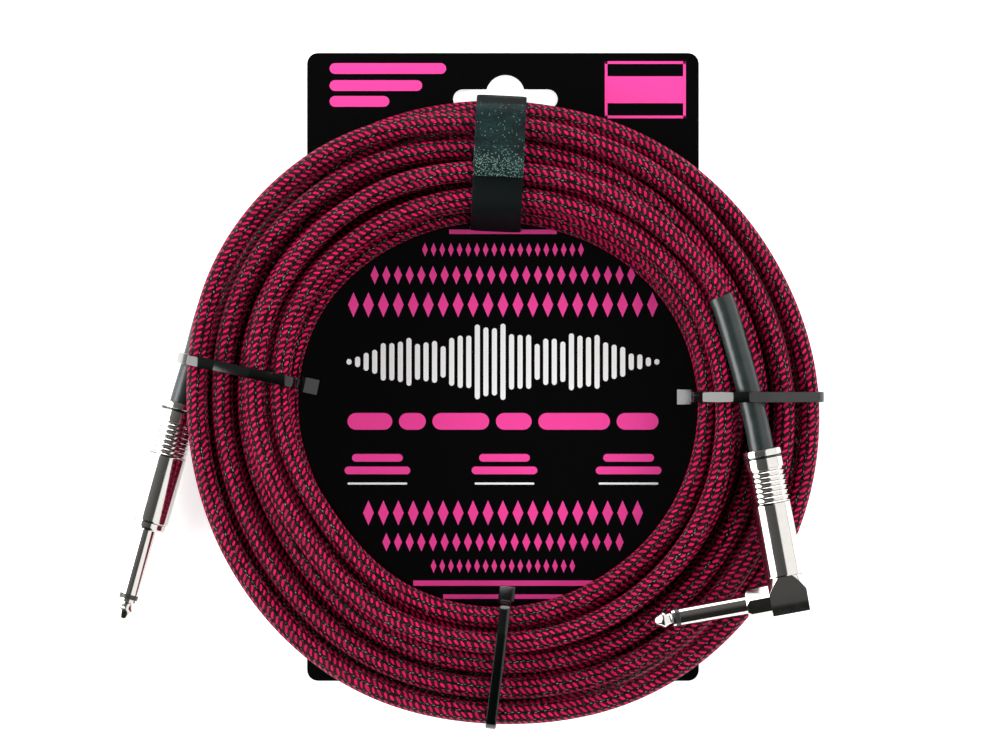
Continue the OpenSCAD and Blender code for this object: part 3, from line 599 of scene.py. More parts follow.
def axisPlace(at, headingDeg, start=0.0):
    # a piece is drawn along +Z in mm, and this puts it on the plug's own axis
    return (Matrix.Translation(place(at)) @ Matrix.Rotation(math.radians(headingDeg), 4, "Z")
            @ Matrix.Rotation(math.radians(90), 4, "Y") @ Matrix.Scale(mm, 4) @ Matrix.Translation((0, 0, start)))


def supported(profile):
    # long runs get a point near each end, so that shading stays straight between them
    out = []
    for i, p in enumerate(profile):
        out.append(p)
        a, b = Vector(p), Vector(profile[(i + 1) % len(profile)])
        if (b - a).length > plug["longRun"]:
            out += [tuple(p.lerp(q, plug["support"] / (b - a).length)) for p, q in ((a, b), (b, a))]
    return out


def turned(name, profile, matrix, finish, node=None, body="tied_cable"):
    # a closed profile of (radius, distance) in mm, spun round the axis
    clearPick()
    points = [(r, 0.0, z) for r, z in supported(profile)]
    piece = meshPiece(name, points, [(i, (i + 1) % len(points)) for i in range(len(points))], [])
    spin(piece)
    bpy.ops.object.mode_set(mode="OBJECT")
    piece.data.transform(matrix)
    smoothUnder(35)
    return complete(piece, finish, node, body)


def tipProfile(rodEnd):
    s, t, rod = plug["shaftR"], plug["tipLen"], plug["rodR"]
    nose = [(0.0, 0.0), (0.55, 0.02), (0.95, 0.12), (1.3, 0.36), (1.62, 0.78), (2.1, 1.5), (2.6, 2.3), (2.88, 2.85),
            (2.98, 3.2), (2.95, 3.5), (2.75, 3.85), (2.4, 4.5), (2.15, 5.05), (2.1, 5.3), (2.12, 5.6), (2.45, 5.85),
            (s - 0.12, 6.02), (s, 6.15)]
    return nose + [(s, t - 0.08), (s - 0.08, t), (rod, t), (rod, rodEnd - 0.3), (rod - 0.3, rodEnd), (0.0, rodEnd)]


def ringProfile(linerEnd):
    s, a, b = plug["shaftR"], plug["tipLen"], sleeveStart
    bore, neck = plug["rodR"] + 0.05, plug["linerR"] - 0.05
    return [(bore, a), (s - 0.1, a), (s, a + 0.1), (s, b - 0.1), (s - 0.1, b), (neck, b), (neck, linerEnd),
            (bore, linerEnd)]


def barrelProfile(length):
    b, c = plug["barrelR"], plug["collarR"]
    gripEnd = length - plug["rearCollar"] - plug["ringGroove"] - plug["plainBand"]
    gripStart = gripEnd - plug["grooves"] * plug["groovePitch"]
    outer = [(5.05, 0.0), (b - 0.45, 0.0), (b - 0.12, 0.12), (b, 0.45), (b, gripStart - 0.25), (b + 0.1, gripStart - 0.08)]
    for i in range(plug["grooves"]):
        z = gripStart + i * plug["groovePitch"]
        # a ridge that rises steeply and slopes off towards the cable, then a flat valley
        outer += [(plug["valleyR"] + (plug["ridgeR"] - plug["valleyR"]) * rise, z + on) for rise, on in plug["ridge"]]
    band = gripEnd + plug["plainBand"]
    rear = band + plug["ringGroove"]
    outer += [(c - 0.22, gripEnd), (c - 0.1, gripEnd + 0.12), (c - 0.1, band - 0.12), (c - 0.22, band), (c - 0.7, band),
              (c - 0.7, rear), (c - 0.15, rear), (c, rear + 0.15), (c, length - 0.4), (c - 0.1, length - 0.15),
              (c - 0.35, length)]
    inner = [(4.5, length), (4.5, length - 4.8), (5.55, length - 4.8), (5.55, 6.2), (5.05, 6.2)]
    return outer + inner


def bandProfile(length):
    start, r = length - plug["rearCollar"] - plug["ringGroove"], plug["collarR"]
    end = start + plug["ringGroove"]
    return [(r - 0.7, start), (r - 0.3, start), (r - 0.2, start + 0.15), (r - 0.2, end - 0.15), (r - 0.3, end),
            (r - 0.7, end)]


def threadCrests(start, end):
    # the thread's crests, 1 mm apart
    crest, z = plug["threadR"], start
    line = [(crest - 0.3, z)]
    while z < end - 0.9:
        line += [(crest, z + 0.4), (crest, z + 0.6), (crest - 0.3, z + 1.0)]
        z += 1.0
    return line


def makeBarrel(name, node, axis, length):
    # the barrel that screws off, with the black ring in its rear groove
    return [turned(name, barrelProfile(length), axis, nickelFinish, node, node),
            turned(name + "Ring", bandProfile(length), axis, blackNylon, node + "_ring", node)]


def makeStraightPlug():
    at, heading, threadStart = straightPlug["tipAt"], straightPlug["heading"], straightPlug["threadStart"]
    axis, threadEnd = axisPlace(at, heading), threadStart + threadLen
    s, liner, shoulder = plug["shaftR"], plug["linerR"], plug["shoulderR"]
    body = [(liner, sleeveStart), (s - 0.1, sleeveStart), (s, sleeveStart + 0.1), (s, sleeveEnd),
            (shoulder - 0.9, sleeveEnd), (shoulder - 0.25, sleeveEnd + 0.35), (shoulder, sleeveEnd + 0.9),
            (shoulder, threadStart - 0.2), (shoulder - 0.2, threadStart)]
    body += threadCrests(threadStart, threadEnd) + [(plug["threadR"] - 0.3, threadEnd), (liner, threadEnd)]
    return [
        turned("straightTip", tipProfile(threadEnd + 2.7), axis, nickelFinish, "straight_tip"),
        turned("straightInsulator", ringProfile(threadEnd + 0.6), axis, insulatorFinish,
               "straight_insulator"),
        turned("straightShaft", body, axis, nickelFinish, "straight_sleeve"),
        *makeBarrel("straightBarrel", "straight_barrel", axisPlace(at, heading, threadStart), straightPlug["barrelLen"])]


straightPieces = makeStraightPlug()
print("straight plug made")

elbow = {
    "side": 6.2, "flat": 5.75, "up": 6.8, "down": 5.6, "footRound": 6.2, "footTilt": 40, "flareR": 8.8,
    "hexLen": 8.0, "hexSide": 4.85, "hexTurn": -12.0, "hexChamfer": 0.62, "boreR": 3.9, "spigotR": 2.7,
}


def cutAway(point, normal):
    # slices the piece in edit mode, drops what lies past the plane and closes the cut
    bpy.ops.mesh.select_all(action="SELECT")
    bpy.ops.mesh.bisect(plane_co=point, plane_no=normal, use_fill=True, clear_outer=True)


def makeElbow():
    clearPick()
    e = elbow
    profile = [(0.0, -e["down"]), (e["flareR"], -e["down"]), (e["flareR"], 1.0), (plug["barrelR"] - 0.1, e["up"]),
               (0.0, e["up"])]
    edges = [(i, i + 1) for i in range(len(profile) - 1)]
    piece = meshPiece("angleElbow", [(r, 0, z) for r, z in profile], edges, [])
    spin(piece)
    # milled flats: up and down sides nearer the axis than the other two, then the foot, rounded in small steps
    for normal, far in (((1, 0, 0), e["flat"]), ((-1, 0, 0), e["flat"]), ((0, 1, 0), e["side"]), ((0, -1, 0), e["side"])):
        cutAway([n * far for n in normal], normal)
    middle = e["footRound"] * math.sin(math.radians(e["footTilt"])) - e["down"]
    for side in (1, -1):
        for degrees in range(4, e["footTilt"] + 1, 4):
            tilt = math.radians(degrees)
            out, below = e["footRound"] * (1 - math.cos(tilt)), e["footRound"] * math.sin(tilt)
            cutAway((side * (e["flat"] - out), 0, middle - below), (side * math.cos(tilt), 0, -math.sin(tilt)))
    bpy.ops.object.mode_set(mode="OBJECT")
    outwards(piece, 0.0005)
    roundEdges(piece, 0.16, 2, 22)
    piece.data.transform(axisPlace(anglePlug["elbowAt"], anglePlug["heading"]))
    smoothUnder(9)
    return complete(piece, nickelFinish, "angle_elbow")


def makeHex(matrix):
    # hexagonal collar, chamfered at the shaft's side
    e = elbow
    clearPick()
    bpy.ops.mesh.primitive_cylinder_add(
        vertices=6, radius=e["hexSide"], depth=e["hexLen"], location=(0, 0, sleeveEnd + e["hexLen"] / 2),
        rotation=(0, 0, math.radians(90 + e["hexTurn"])))
    piece = bpy.context.object
    piece.name = "angleHexCollar"
    bpy.ops.object.transform_apply(location=True, rotation=True, scale=True)
    bpy.ops.object.mode_set(mode="EDIT")
    rim = e["hexSide"] * math.cos(math.pi / 6) - 0.1
    for k in range(24):
        a = 2 * math.pi * (k + 0.5) / 24
        cutAway((math.cos(a) * rim, math.sin(a) * rim, sleeveEnd),
                Vector((math.cos(a), math.sin(a), -e["hexChamfer"])).normalized())
    bpy.ops.object.mode_set(mode="OBJECT")
    outwards(piece, 0.002)
    roundEdges(piece, 0.1, 2, 30)
    piece.data.transform(matrix)
    smoothUnder(12)
    return complete(piece, nickelFinish)


def makeAnglePlug():
    at, heading, base = anglePlug["elbowAt"], anglePlug["heading"], anglePlug["shaftBase"]
    shaft = axisPlace(at, heading - 90, -base)
    barrelAxis = axisPlace(at, heading, anglePlug["threadStart"])
    s, liner, spigot, bore = plug["shaftR"], plug["linerR"], elbow["spigotR"], elbow["boreR"]
    body = [(liner, sleeveStart), (s - 0.1, sleeveStart), (s, sleeveStart + 0.1), (s, sleeveEnd + 0.4),
            (spigot, sleeveEnd + 0.4), (spigot, base - bore), (liner, base - bore)]
    thread = [(bore, 0.0)] + threadCrests(0.0, threadLen) + [(bore, threadLen)]
    return [
        turned("angleTip", tipProfile(base + 1.6), shaft, nickelFinish, "angle_tip"),
        turned("angleInsulator", ringProfile(base - 3.3), shaft, insulatorFinish, "angle_insulator"),
        turned("angleShaft", body, shaft, nickelFinish, "angle_sleeve"),
        makeHex(shaft), makeElbow(),
        turned("angleThread", thread, barrelAxis, nickelFinish),
        *makeBarrel("angleBarrel", "angle_barrel", barrelAxis, anglePlug["barrelLen"])]


anglePieces = makeAnglePlug()
print("angle plug made")

wrapPlaces = {
    # place round the coil and skew off the radius in degrees; what else it holds: (out from the middle, height, radius);
    # where the stiff band bends over the cable: (mm in from its outer edge, rise)
    "tieLeft": {"angle": 170.9, "skew": -3.1, "holds": [(104.5, 6.0, 4.2)],
                "bends": [(6.7, 1.0), (12.1, 0.0), (24.2, 1.4), (31.7, 0.0)]},
    "tieRight": {"angle": 3.7, "skew": -3.7, "holds": [(82.1, 31.7, 4.2)],
                 "bends": [(10.8, 0.0), (18.3, 1.3), (24.6, 0.4), (28.8, 1.2), (32.5, 0.2), (38.6, 0.9)]},
    "tieBottom": {"angle": 268.8, "skew": -5.8, "holds": [], "bends": [(18.0, 0.0), (31.0, 0.3)]},
    "strap": {"angle": 90.9, "skew": -3.6, "holds": []},
}
wrapFit = {"midR": 85.0, "gap": 0.3, "cardBottom": 1.3, "cardTop": 1.9, "facetSag": 1 - math.cos(math.radians(7.5))}
tie = {"wide": 3.6, "thick": 1.3, "headWide": 5.4, "headLong": 5.0, "headTall": 4.4, "headZ": 14.9, "headSunk": 0.4,
       "headSlope": 25, "slopeFrom": 1.4, "headRound": 0.4, "bendRound": 0.3}
strap = {"wide": 16.7, "thick": 1.3, "tabLong": 24.0, "hingeAt": 102.5, "tabGap": 0.1}


def wrapPasses(wrap, wide):
    # each pass of the cable under a band: distance out and height of its middle, and its radius
    first = (cable["startAngle"] - wrap["angle"]) % 360 / 360
    half = wide / 2 + abs(math.sin(math.radians(wrap["skew"]))) * (cable["outerR"] - cable["innerR"]) / 2
    passes = list(wrap["holds"])
    for k in range(int(coilTurns - first) + 1):
        edge = math.asin(half / coilR(first + k))
        for turn in (-edge, 0, edge):
            t = first + k - turn / (2 * math.pi)
            for sag in (0, wrapFit["facetSag"]):
                passes.append((coilR(t) * math.cos(turn) * (1 - sag), coilZ(t), 3.5))
    return passes


def tightOutline(wrap, wide, grow):
    # the closed line of a band drawn tight round the passes and the card, grown outwards by some mm
    passes = wrapPasses(wrap, wide)
    low = min(p[0] - p[2] for p in passes) - wrapFit["gap"]
    high = max(p[0] + p[2] for p in passes) + wrapFit["gap"]
    circles = [(s, z, r + wrapFit["gap"] + grow) for s, z, r in passes]
    circles += [(s, z, 0.02 + grow) for s in (low, high) for z in (wrapFit["cardBottom"], wrapFit["cardTop"])]
    points = sorted({(round(s + r * math.cos(math.pi * k / 24), 4), round(z + r * math.sin(math.pi * k / 24), 4))
                     for s, z, r in circles for k in range(48)})
    halves = []
    for run in (points, list(reversed(points))):
        half = []
        for p in run:
            while len(half) > 1 and ((half[-1][0] - half[-2][0]) * (p[1] - half[-2][1])
                                     - (half[-1][1] - half[-2][1]) * (p[0] - half[-2][0])) <= 1e-6:
                half.pop()
            half.append(p)
        halves.append(half[:-1])
    return [Vector(p) for p in halves[0] + halves[1]]


def wrapMatrix(wrap):
    # from (out, across, height) in mm at the band's place to metres in the frame
    a = math.radians(wrap["angle"])
    middle = place((wrapFit["midR"] * math.cos(a), wrapFit["midR"] * math.sin(a), 0))
    turn = Matrix.Rotation(a + math.radians(wrap["skew"]), 4, "Z")
    return Matrix.Translation(middle) @ turn @ Matrix.Scale(mm, 4) @ Matrix.Translation((-wrapFit["midR"], 0, 0))


def sweepBand(name, outline, section, matrix, closed=True):
    # a flat band along an outline in the (out, height) plane; the section is (across, outwards) in mm,
    # and the map holds metres along the band and metres across it
    count, sides = len(outline), len(section)
    points, along, walked = [], [], 0.0
    for i, p in enumerate(outline):
        before = outline[i - 1] if closed or i else p
        after = outline[(i + 1) % count] if closed or i + 1 < count else p
        ahead = ((after - p).normalized() + (p - before).normalized()).normalized()
        out, on = Vector((ahead.y, -ahead.x)), (after - p).normalized()
        stretch = 1 / max(0.5, out.dot(Vector((on.y, -on.x))) if after != p else 1)
        walked += (p - outline[i - 1]).length if i else 0
        along.append(walked)
        for across, lift in section:
            q = p + out * lift * stretch
            points.append(matrix @ Vector((q.x, across, q.y)))
    spread = [0.0]
    for k in range(sides):
        spread.append(spread[-1] + (Vector(section[(k + 1) % sides]) - Vector(section[k])).length)
    along.append(walked + (outline[0] - outline[-1]).length)
    faces, maps = [], []
    for i in range(count if closed else count - 1):
        j = (i + 1) % count
        for k in range(sides):
            n = (k + 1) % sides
            faces.append((i * sides + k, i * sides + n, j * sides + n, j * sides + k))
            maps += [(along[i + far], spread[k + on]) for far, on in ((0, 0), (0, 1), (1, 1), (1, 0))]
    if not closed:
        faces += [tuple(reversed(range(sides))), tuple((count - 1) * sides + k for k in range(sides))]
        maps += [(0.0, spread[k]) for k in reversed(range(sides))] + [(along[count - 1], spread[k]) for k in range(sides)]
    piece = meshPiece(name, points, [], faces, [(a * mm, b * mm) for a, b in maps])
    outwards(piece)
    smoothUnder(28)
    return piece


def joined(name, pieces):
    pick(pieces[0])
    for piece in pieces[1:]:
        piece.select_set(True)
    if len(pieces) > 1:
        bpy.ops.object.join()
    pieces[0].name = name
    return pieces[0]


def makeTieHead(name, wrap, insideEdge):
    # the moulded head round the band's inner side, its top sloping away from the coil
    clearPick()
    start, end = insideEdge - tie["thick"] - tie["headLong"] + tie["headSunk"], insideEdge + 0.2
    top, slope = tie["headZ"] + tie["headTall"], math.radians(tie["headSlope"])
    bpy.ops.mesh.primitive_cube_add(size=1, location=((start + end) / 2, 0, (tie["headZ"] + top) / 2),
                                    scale=(end - start, tie["headWide"], tie["headTall"]))
    head = bpy.context.object
    bpy.ops.object.transform_apply(location=True, rotation=True, scale=True)
    bpy.ops.object.mode_set(mode="EDIT")
    cutAway((end - tie["slopeFrom"], 0, top), (-math.sin(slope), 0, math.cos(slope)))
    bpy.ops.object.mode_set(mode="OBJECT")
    roundEdges(head, tie["headRound"], 3, 30)
    head.data.transform(wrapMatrix(wrap))
    smoothUnder(20)
    return head


def bentOver(outline, bends):
    # the tight outline with its upper run carried over the bends, each bend cut by two points
    outer = max(range(len(outline)), key=lambda i: outline[i].x)
    upper, edge = outline[outer:] + outline[:1], outline[outer].x
    run = []
    for inwards, rise in bends:
        x = edge - inwards
        after = next(i for i in range(1, len(upper)) if upper[i].x <= x)
        p, q = upper[after - 1], upper[after]
        run.append(Vector((x, p.y + (q.y - p.y) * (x - p.x) / (q.x - p.x) + rise)))
    before = [p for p in upper if p.x > run[0].x]
    beyond = [p for p in upper[:-1] if p.x < run[-1].x]
    line = before[-1:] + run + beyond[:1]
    corners = []
    for a, b, c in zip(line, line[1:], line[2:]):
        corners += [b + (a - b).normalized() * tie["bendRound"], b + (c - b).normalized() * tie["bendRound"]]
    return outline[:outer] + before + corners + beyond


def makeTie(name, node, finish):
    wrap = wrapPlaces[name]
    half, thick = tie["wide"] / 2, tie["thick"]
    section = [(-half, 0.25), (-half + 0.2, 0.04), (half - 0.2, 0.04), (half, 0.25), (half, thick - 0.42),
               (half - 0.12, thick - 0.14), (half - 0.42, thick), (-half + 0.42, thick), (-half + 0.12, thick - 0.14),
               (-half, thick - 0.42)]
    outline = bentOver(tightOutline(wrap, tie["wide"], 0.0), wrap["bends"])
    band = sweepBand(name, outline, section, wrapMatrix(wrap))
    insideEdge = min(p[0] - p[2] for p in wrapPasses(wrap, tie["wide"])) - wrapFit["gap"]
    piece = joined(name, [band, makeTieHead(name, wrap, insideEdge)])
    return complete(piece, finish, node)


tieFinish = mouldedNylon("glossyTieNylon", "#020404", "#050808", 0.12)
for name, node in (("tieLeft", "tie_left"), ("tieRight", "tie_right"), ("tieBottom", "tie_bottom")):
    makeTie(name, node, tieFinish)
print("ties made")


webbing = {
    "threadPitch": 0.55, "dark": "#040A0B", "teal": "#14302F", "band": "#070D0F", "fleck": "#6E8A80",
    "fleckSize": 0.5, "fleckRun": 11.0, "fullRun": 4.0,       # mm from the free end: flecks begin, and are thickest
}


def webbingMaterial(name, flecked):
    # napped nylon hook-and-loop webbing: dull teal black, fine cross threads 0.55 mm apart,
    # pale hooks showing more and more towards the free end
    material, tree, surface = newMaterial(name)
    uv = addNode(tree, "UVMap", {"uv_map": "weaveMap"})
    parts = addNode(tree, "SeparateXYZ", inputs={"Vector": uv})
    waves = []
    for axis in ("X", "Y"):
        run = addNode(tree, "Math", multiply, {0: parts.outputs[axis], 1: 2 * math.pi * 1000 / webbing["threadPitch"]})
        waves.append(addNode(tree, "Math", sineOf, {0: run}))
    weave = addNode(tree, "Math", multiply, {0: waves[0], 1: waves[1]})
    where = addNode(tree, "TexCoord").outputs["Object"]
    nap = addNode(tree, "TexNoise", inputs={"Vector": where, "Scale": 1500.0, "Detail": 3.0})
    worn = addNode(tree, "TexNoise", inputs={"Vector": where, "Scale": 180.0, "Detail": 2.0})
    shade = addNode(tree, "Math", multiply, {0: nap, 1: worn})
    shadeRange = addNode(tree, "MapRange", inputs={"Value": shade, "From Min": 0.12, "From Max": 0.42})
    colour = addNode(tree, "MixRGB", inputs={"Fac": shadeRange, "Color1": linear(webbing["dark"]),
                                             "Color2": linear(webbing["teal" if flecked else "band"])})
    height = addNode(tree, "Math", multiplyAdd, {0: weave, 1: 0.25, 2: nap})
    if flecked:
        dots = addNode(tree, "TexVoronoi", {"feature": "F1"}, {"Vector": where, "Scale": 1000.0 / webbing["fleckSize"]})
        nearEnd = addNode(tree, "MapRange", inputs={
            "Value": parts.outputs["X"], "From Min": webbing["fleckRun"] * mm, "From Max": webbing["fullRun"] * mm,
            "To Min": 0.06, "To Max": 0.78})
        dotParts = addNode(tree, "SeparateXYZ", inputs={"Vector": dots.outputs["Color"]})
        chosen = addNode(tree, "Math", lessThan, {0: dotParts.outputs["X"], 1: nearEnd})
        roundDot = addNode(tree, "MapRange", inputs={
            "Value": dots.outputs["Distance"], "From Min": 0.5, "From Max": 0.25})
        fleckMask = addNode(tree, "Math", multiply, {0: chosen, 1: roundDot})
        colour = addNode(tree, "MixRGB", inputs={"Fac": fleckMask, "Color1": colour,
                                                 "Color2": linear(webbing["fleck"])})
        height = addNode(tree, "Math", addUp, {0: height, 1: fleckMask})
    bump = addNode(tree, "Bump", inputs={"Height": height, "Strength": 0.5, "Distance": 0.25 * mm})
    setFinish(surface, colour=colour, normal=bump, roughness=0.65, specular=0.1)
    return material


def strapSection(thick, base):
    # webbing with thin sewn edges and a slightly crowned back
    half = strap["wide"] / 2
    top = [(half * f, base + thick - 0.16 * abs(f) ** 6) for f in (0.97, 0.85, 0.6, 0.3, 0, -0.3, -0.6, -0.85, -0.97)]
    return [(-half, base + 0.3), (-half + 0.25, base + 0.03), (half - 0.25, base + 0.03), (half, base + 0.3),
            (half, base + thick - 0.45)] + top + [(-half, base + thick - 0.45)]


def makeStrap():
    wrap = wrapPlaces["strap"]
    matrix = wrapMatrix(wrap)
    band = sweepBand("strapBand", tightOutline(wrap, strap["wide"], 0.0), strapSection(strap["thick"], 0.0), matrix)
    complete(band, webbingMaterial("loopWebbing", False), "strap_band")
    # the free tab lies on the band, from its hinge over the outer bend inwards
    outline = tightOutline(wrap, strap["wide"], strap["thick"] + strap["tabGap"])
    ends = (strap["hingeAt"] - strap["tabLong"], strap["hingeAt"])
    path = [p for p in outline if p.y > 13.7 and ends[0] < p.x < ends[1]]
    path.sort(key=lambda p: p.x)
    for x, at in ((ends[0], 0), (ends[1], len(path))):
        a, b = next((a, b) for a, b in zip(outline, outline[1:] + outline[:1])
                    if (a.x - x) * (b.x - x) <= 0 and min(a.y, b.y) > 13.0)
        path.insert(at, a + (b - a) * ((x - a.x) / (b.x - a.x)))
    fine = [path[0]]
    for p in path[1:]:
        steps = max(1, int((p - fine[-1]).length / 1.2))
        start = fine[-1]
        fine += [start + (p - start) * ((k + 1) / steps) for k in range(steps)]
    # drawn inwards to outwards the left hand side of the line is up, so the section's lift is turned round
    section = [(across, -lift) for across, lift in strapSection(strap["thick"], 0.0)]
    tab = sweepBand("strapTab", fine, section, matrix, closed=False)
    complete(tab, webbingMaterial("hookWebbing", True), "strap_tab", "strap_tab")


makeStrap()
print("strap made")


card = {
    "top": 1.9, "inkThick": 0.04, "board": "#030304", "magenta": ("#FB449F", "#FF4CA8"), "white": "#F4F4F4",
    "middleX": 1.0,
    # rows of lozenges: height of the row, how wide and tall one is, distance to the next, how many each side
    "lozengeRows": [(47.0, 1.9, 4.6, 2.9, 9), (38.5, 2.7, 6.2, 3.9, 11), (28.6, 3.6, 8.4, 5.0, 10),
                    (-41.0, 3.6, 8.4, 5.0, 9), (-50.8, 2.7, 6.2, 3.9, 10), (-58.8, 1.9, 4.6, 2.9, 8)],
    "lines": [(53.0, 36.0, 1.5), (-64.5, 60.0, 1.8), (-69.0, 40.0, 1.5)],                 # height, length, width
    "waveBars": 37, "wavePitch": 2.86, "waveWide": 1.7, "waveTall": 27.0, "waveY": 9.5,
    "pills": [(-10.4, 5.6, (15, 9, 19, 12, 24, 14))],                                     # height, width, lengths
    "groups": [-41.0, 1.5, 43.0],
}


def coatedBoard():
    # black coated board: glossy varnish, faint ripple of the pressed fibres
    return grained("varnishedBlackBoard", (900.0, 3.0), (card["board"], "#070709"), (0.06, 0.05),
                   roughness=0.12, specular=0.2)


def inkMaterial(name, first, second):
    # offset ink under varnish, its tone drifting a little across the sheet
    return grained(name, (1800.0, 2.0), (first, second), (0.05, 0.03), (30.0, 1.0), roughness=0.3, specular=0.3)


def stamp(corners):
    # one flat printed shape, as a thin raised layer of ink
    clearPick()
    bpy.ops.mesh.primitive_circle_add(vertices=len(corners), radius=1, fill_type="NGON")
    shape = bpy.context.object
    turnsLeft = sum(a[0] * b[1] - b[0] * a[1] for a, b in zip(corners, corners[1:] + corners[:1])) > 0
    for vertex, corner in zip(shape.data.vertices, corners if turnsLeft else list(reversed(corners))):
        vertex.co = (corner[0], corner[1], 0)
    bpy.ops.object.mode_set(mode="EDIT")
    bpy.ops.mesh.select_all(action="SELECT")
    bpy.ops.mesh.extrude_region_move(TRANSFORM_OT_translate={"value": (0, 0, card["inkThick"])})
    bpy.ops.mesh.select_all(action="SELECT")
    bpy.ops.mesh.normals_make_consistent(inside=False)
    bpy.ops.object.mode_set(mode="OBJECT")
    return shape


def roundedBar(wide, tall):
    # outline of an upright bar with half-round ends, or a lying one
    corners = 5
    r = min(wide, tall) / 2
    a, b = wide / 2 - r, tall / 2 - r
    quarters = [(a, b, 0), (-a, b, 1), (-a, -b, 2), (a, -b, 3)]
    line = []
    for x, y, quarter in quarters:
        turns = [math.pi / 2 * (quarter + k / corners) for k in range(corners + 1)]
        line += [(x + r * math.cos(turn), y + r * math.sin(turn)) for turn in turns]
    return line


def printed(name, marks, finish):
    # each mark is (outline, where it goes, stretch across, stretch up); one outline is modelled once and copied
    shapes, copies = {}, []
    for outline, x, y, wide, tall in marks:
        key = tuple(outline)
        if key not in shapes:
            shapes[key] = stamp(outline)
        copy = bpy.data.objects.new(name, shapes[key].data.copy())
        bpy.context.scene.collection.objects.link(copy)
        at = place((x - cable["coilCentre"][0], y - cable["coilCentre"][1], card["top"] + 0.01))
        copy.data.transform(Matrix.Translation(at) @ Matrix.Diagonal((wide * mm, tall * mm, mm, 1)))
        copies.append(copy)
    for shape in shapes.values():
        bpy.data.objects.remove(shape)
    piece = joined(name, copies)
    return complete(piece, finish)


def makePrint():
    c = card
    lozenge = [(0.5, 0.0), (0.0, 0.5), (-0.5, 0.0), (0.0, -0.5)]
    square = [(0.5, -0.5), (0.5, 0.5), (-0.5, 0.5), (-0.5, -0.5)]
    magenta, white = [], []
    for y, wide, tall, pitch, each in c["lozengeRows"]:
        for k in range(-each, each + 1):
            magenta.append((lozenge, c["middleX"] + k * pitch, y, wide, tall))
    for y, long, wide in c["lines"]:
        magenta.append((square, c["middleX"], y, long, wide))
    # a sound wave of upright bars: two swells and a ripple
    for k in range(c["waveBars"]):
        f = k / (c["waveBars"] - 1)
        ripple = 0.45 + 0.35 * math.sin(9.4 * f + 0.4) ** 2 + 0.2 * math.sin(41 * f) ** 2
        swell = abs(math.sin(math.pi * f)) ** 0.7 * ripple
        tall = max(c["waveWide"] + 0.2, round(c["waveTall"] * swell * 2) / 2)
        x = c["middleX"] + (k - (c["waveBars"] - 1) / 2) * c["wavePitch"]
        white.append((roundedBar(c["waveWide"], tall), x, c["waveY"], 1, 1))
    for y, wide, lengths in c["pills"]:
        gap = 2.2
        x = c["middleX"] - (sum(lengths) + gap * (len(lengths) - 1)) / 2
        for long in lengths:
            magenta.append((roundedBar(long, wide), x + long / 2, y, 1, 1))
            x += long + gap
    for middle in c["groups"]:
        for y, long, wide, ink in ((-22.6, 17.0, 2.6, magenta), (-26.8, 22.0, 2.6, magenta), (-31.2, 20.0, 0.7, white)):
            ink.append((roundedBar(long, wide), middle, y, 1, 1))
    # upper corners: stepped bars on the left, a plain framed panel on the right
    for y, x, long in ((107.6, -37.5, 39.0), (101.9, -41.5, 31.0), (96.6, -47.0, 20.0)):
        magenta.append((roundedBar(long, 3.6), x, y, 1, 1))
    for x, y, wide, tall in ((48.6, 109.6, 27.0, 0.9), (48.6, 91.4, 27.0, 0.9), (35.5, 100.5, 0.9, 19.1),
                             (61.7, 100.5, 0.9, 19.1), (48.6, 100.5, 25.4, 9.0)):
        magenta.append((square, x, y, wide, tall))
    printed("magentaPrint", magenta, inkMaterial("magentaOffsetInk", *c["magenta"]))
    printed("whitePrint", white, inkMaterial("whiteOffsetInk", c["white"], "#FFFFFF"))


dress(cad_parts["backing_card"], coatedBoard())
makePrint()
print("card printed")


studio = {
    # inside glowFrom the floor does not glow: a painted shadow under the card
    "floorSize": 6.0, "floorGlow": 0.7, "glowFrom": (74, 78),      # the glow starts between these, mm from the middle
    # brightness of each part of the room, as mirrored by glossy surfaces and as it lights dull ones
    "leftPanel": (8.0, 4.1), "rightPanel": (1.35, 2.5), "backPanel": (5.0, 2.9),
    "ceiling": (0.14, 0.14), "foot": (0.02, 0.02),
}


def makeFloor():
    clearPick()
    bpy.ops.mesh.primitive_plane_add(size=studio["floorSize"], location=(0, 0, -0.02 * mm))
    floor = bpy.context.object
    floor.name = "paleFloor"
    material, tree, surface = newMaterial("paleFloorPaper")
    where = addNode(tree, "TexCoord").outputs["Object"]
    grain = addNode(tree, "TexNoise", inputs={"Vector": where, "Scale": 800.0, "Detail": 2.0})
    colour = addNode(tree, "MixRGB", inputs={"Fac": grain, "Color1": linear("#F4F4F2"), "Color2": linear("#FAFAF8")})
    # glows evenly white like a light table; the glow is left off under the card, a painted shadow seen through its
    # slots
    away = addNode(tree, "VectorMath", {"operation": "DISTANCE"}, {0: where, 1: place((0, 0, 0))})
    glow = addNode(tree, "MapRange", inputs={
        "Value": away.outputs["Value"], "From Min": studio["glowFrom"][0] * mm, "From Max": studio["glowFrom"][1] * mm,
        "To Max": studio["floorGlow"]})
    setFinish(surface, colour=colour, glow=glow, glowColour=linear("#FFFFFF"), roughness=0.8, specular=0.2)
    dress(floor, material)


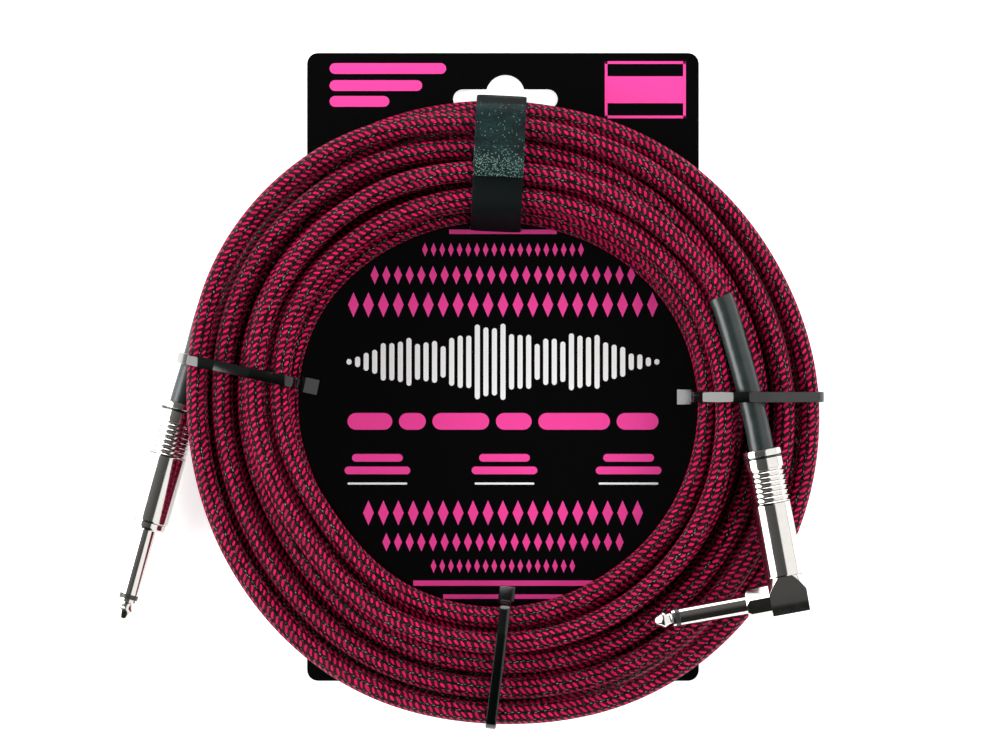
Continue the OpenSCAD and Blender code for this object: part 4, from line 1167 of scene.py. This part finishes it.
def makeLight():
    # a low white panel on the left, a taller one on the right and one behind, with a dim ceiling between them
    # that polished metal mirrors as a dark band, darkest towards the front
    world = bpy.data.worlds.new("studioLight")
    world.use_nodes = True
    tree = world.node_tree
    tree.nodes.clear()
    where = addNode(tree, "TexCoord").outputs["Generated"]
    parts = addNode(tree, "SeparateXYZ", inputs={"Vector": where}).outputs
    dull = addNode(tree, "LightPath").outputs["Is Diffuse Ray"]
    horizon = addNode(tree, "MapRange", softRamp, {
        "Value": parts["Z"], "From Min": 0.01, "From Max": 0.08, "To Min": 0.3, "To Max": 1.0})
    levels = {}
    for name in ("leftPanel", "rightPanel", "backPanel", "ceiling", "foot"):
        mirrored, lighting = studio[name]
        levels[name] = addNode(tree, "MapRange", inputs={"Value": dull, "To Min": mirrored, "To Max": lighting})
    panels = []
    for name, axis, start, full in (("leftPanel", "X", -0.70, -0.82), ("rightPanel", "X", 0.24, 0.38),
                                    ("backPanel", "Y", 0.80, 0.90)):
        share = addNode(tree, "MapRange", softRamp, {"Value": parts[axis], "From Min": start, "From Max": full})
        panels.append(addNode(tree, "Math", multiply, {0: share, 1: levels[name]}))
    sides = addNode(tree, "Math", larger, {0: panels[0], 1: panels[1]})
    around = addNode(tree, "Math", larger, {0: sides, 1: panels[2]})
    bright = addNode(tree, "Math", multiply, {0: around, 1: horizon})
    overhead = addNode(tree, "MapRange", softRamp, {
        "Value": parts["Y"], "From Min": -0.55, "From Max": 0.35, "To Min": levels["foot"], "To Max": levels["ceiling"]})
    leftwards = addNode(tree, "MapRange", inputs={
        "Value": parts["X"], "From Min": 0.0, "From Max": -0.75, "To Min": 1.0, "To Max": 1.8})
    dim = addNode(tree, "Math", multiply, {0: overhead, 1: leftwards})
    level = addNode(tree, "Math", larger, {0: bright, 1: dim})
    sky = addNode(tree, "Background", inputs={"Strength": level, "Color": (1.0, 0.995, 0.985, 1.0)})
    addNode(tree, "OutputWorld", inputs={"Surface": sky})
    bpy.context.scene.world = world
    bpy.context.scene.view_settings.view_transform = "Standard"


makeFloor()
makeLight()
print("floor and light made")
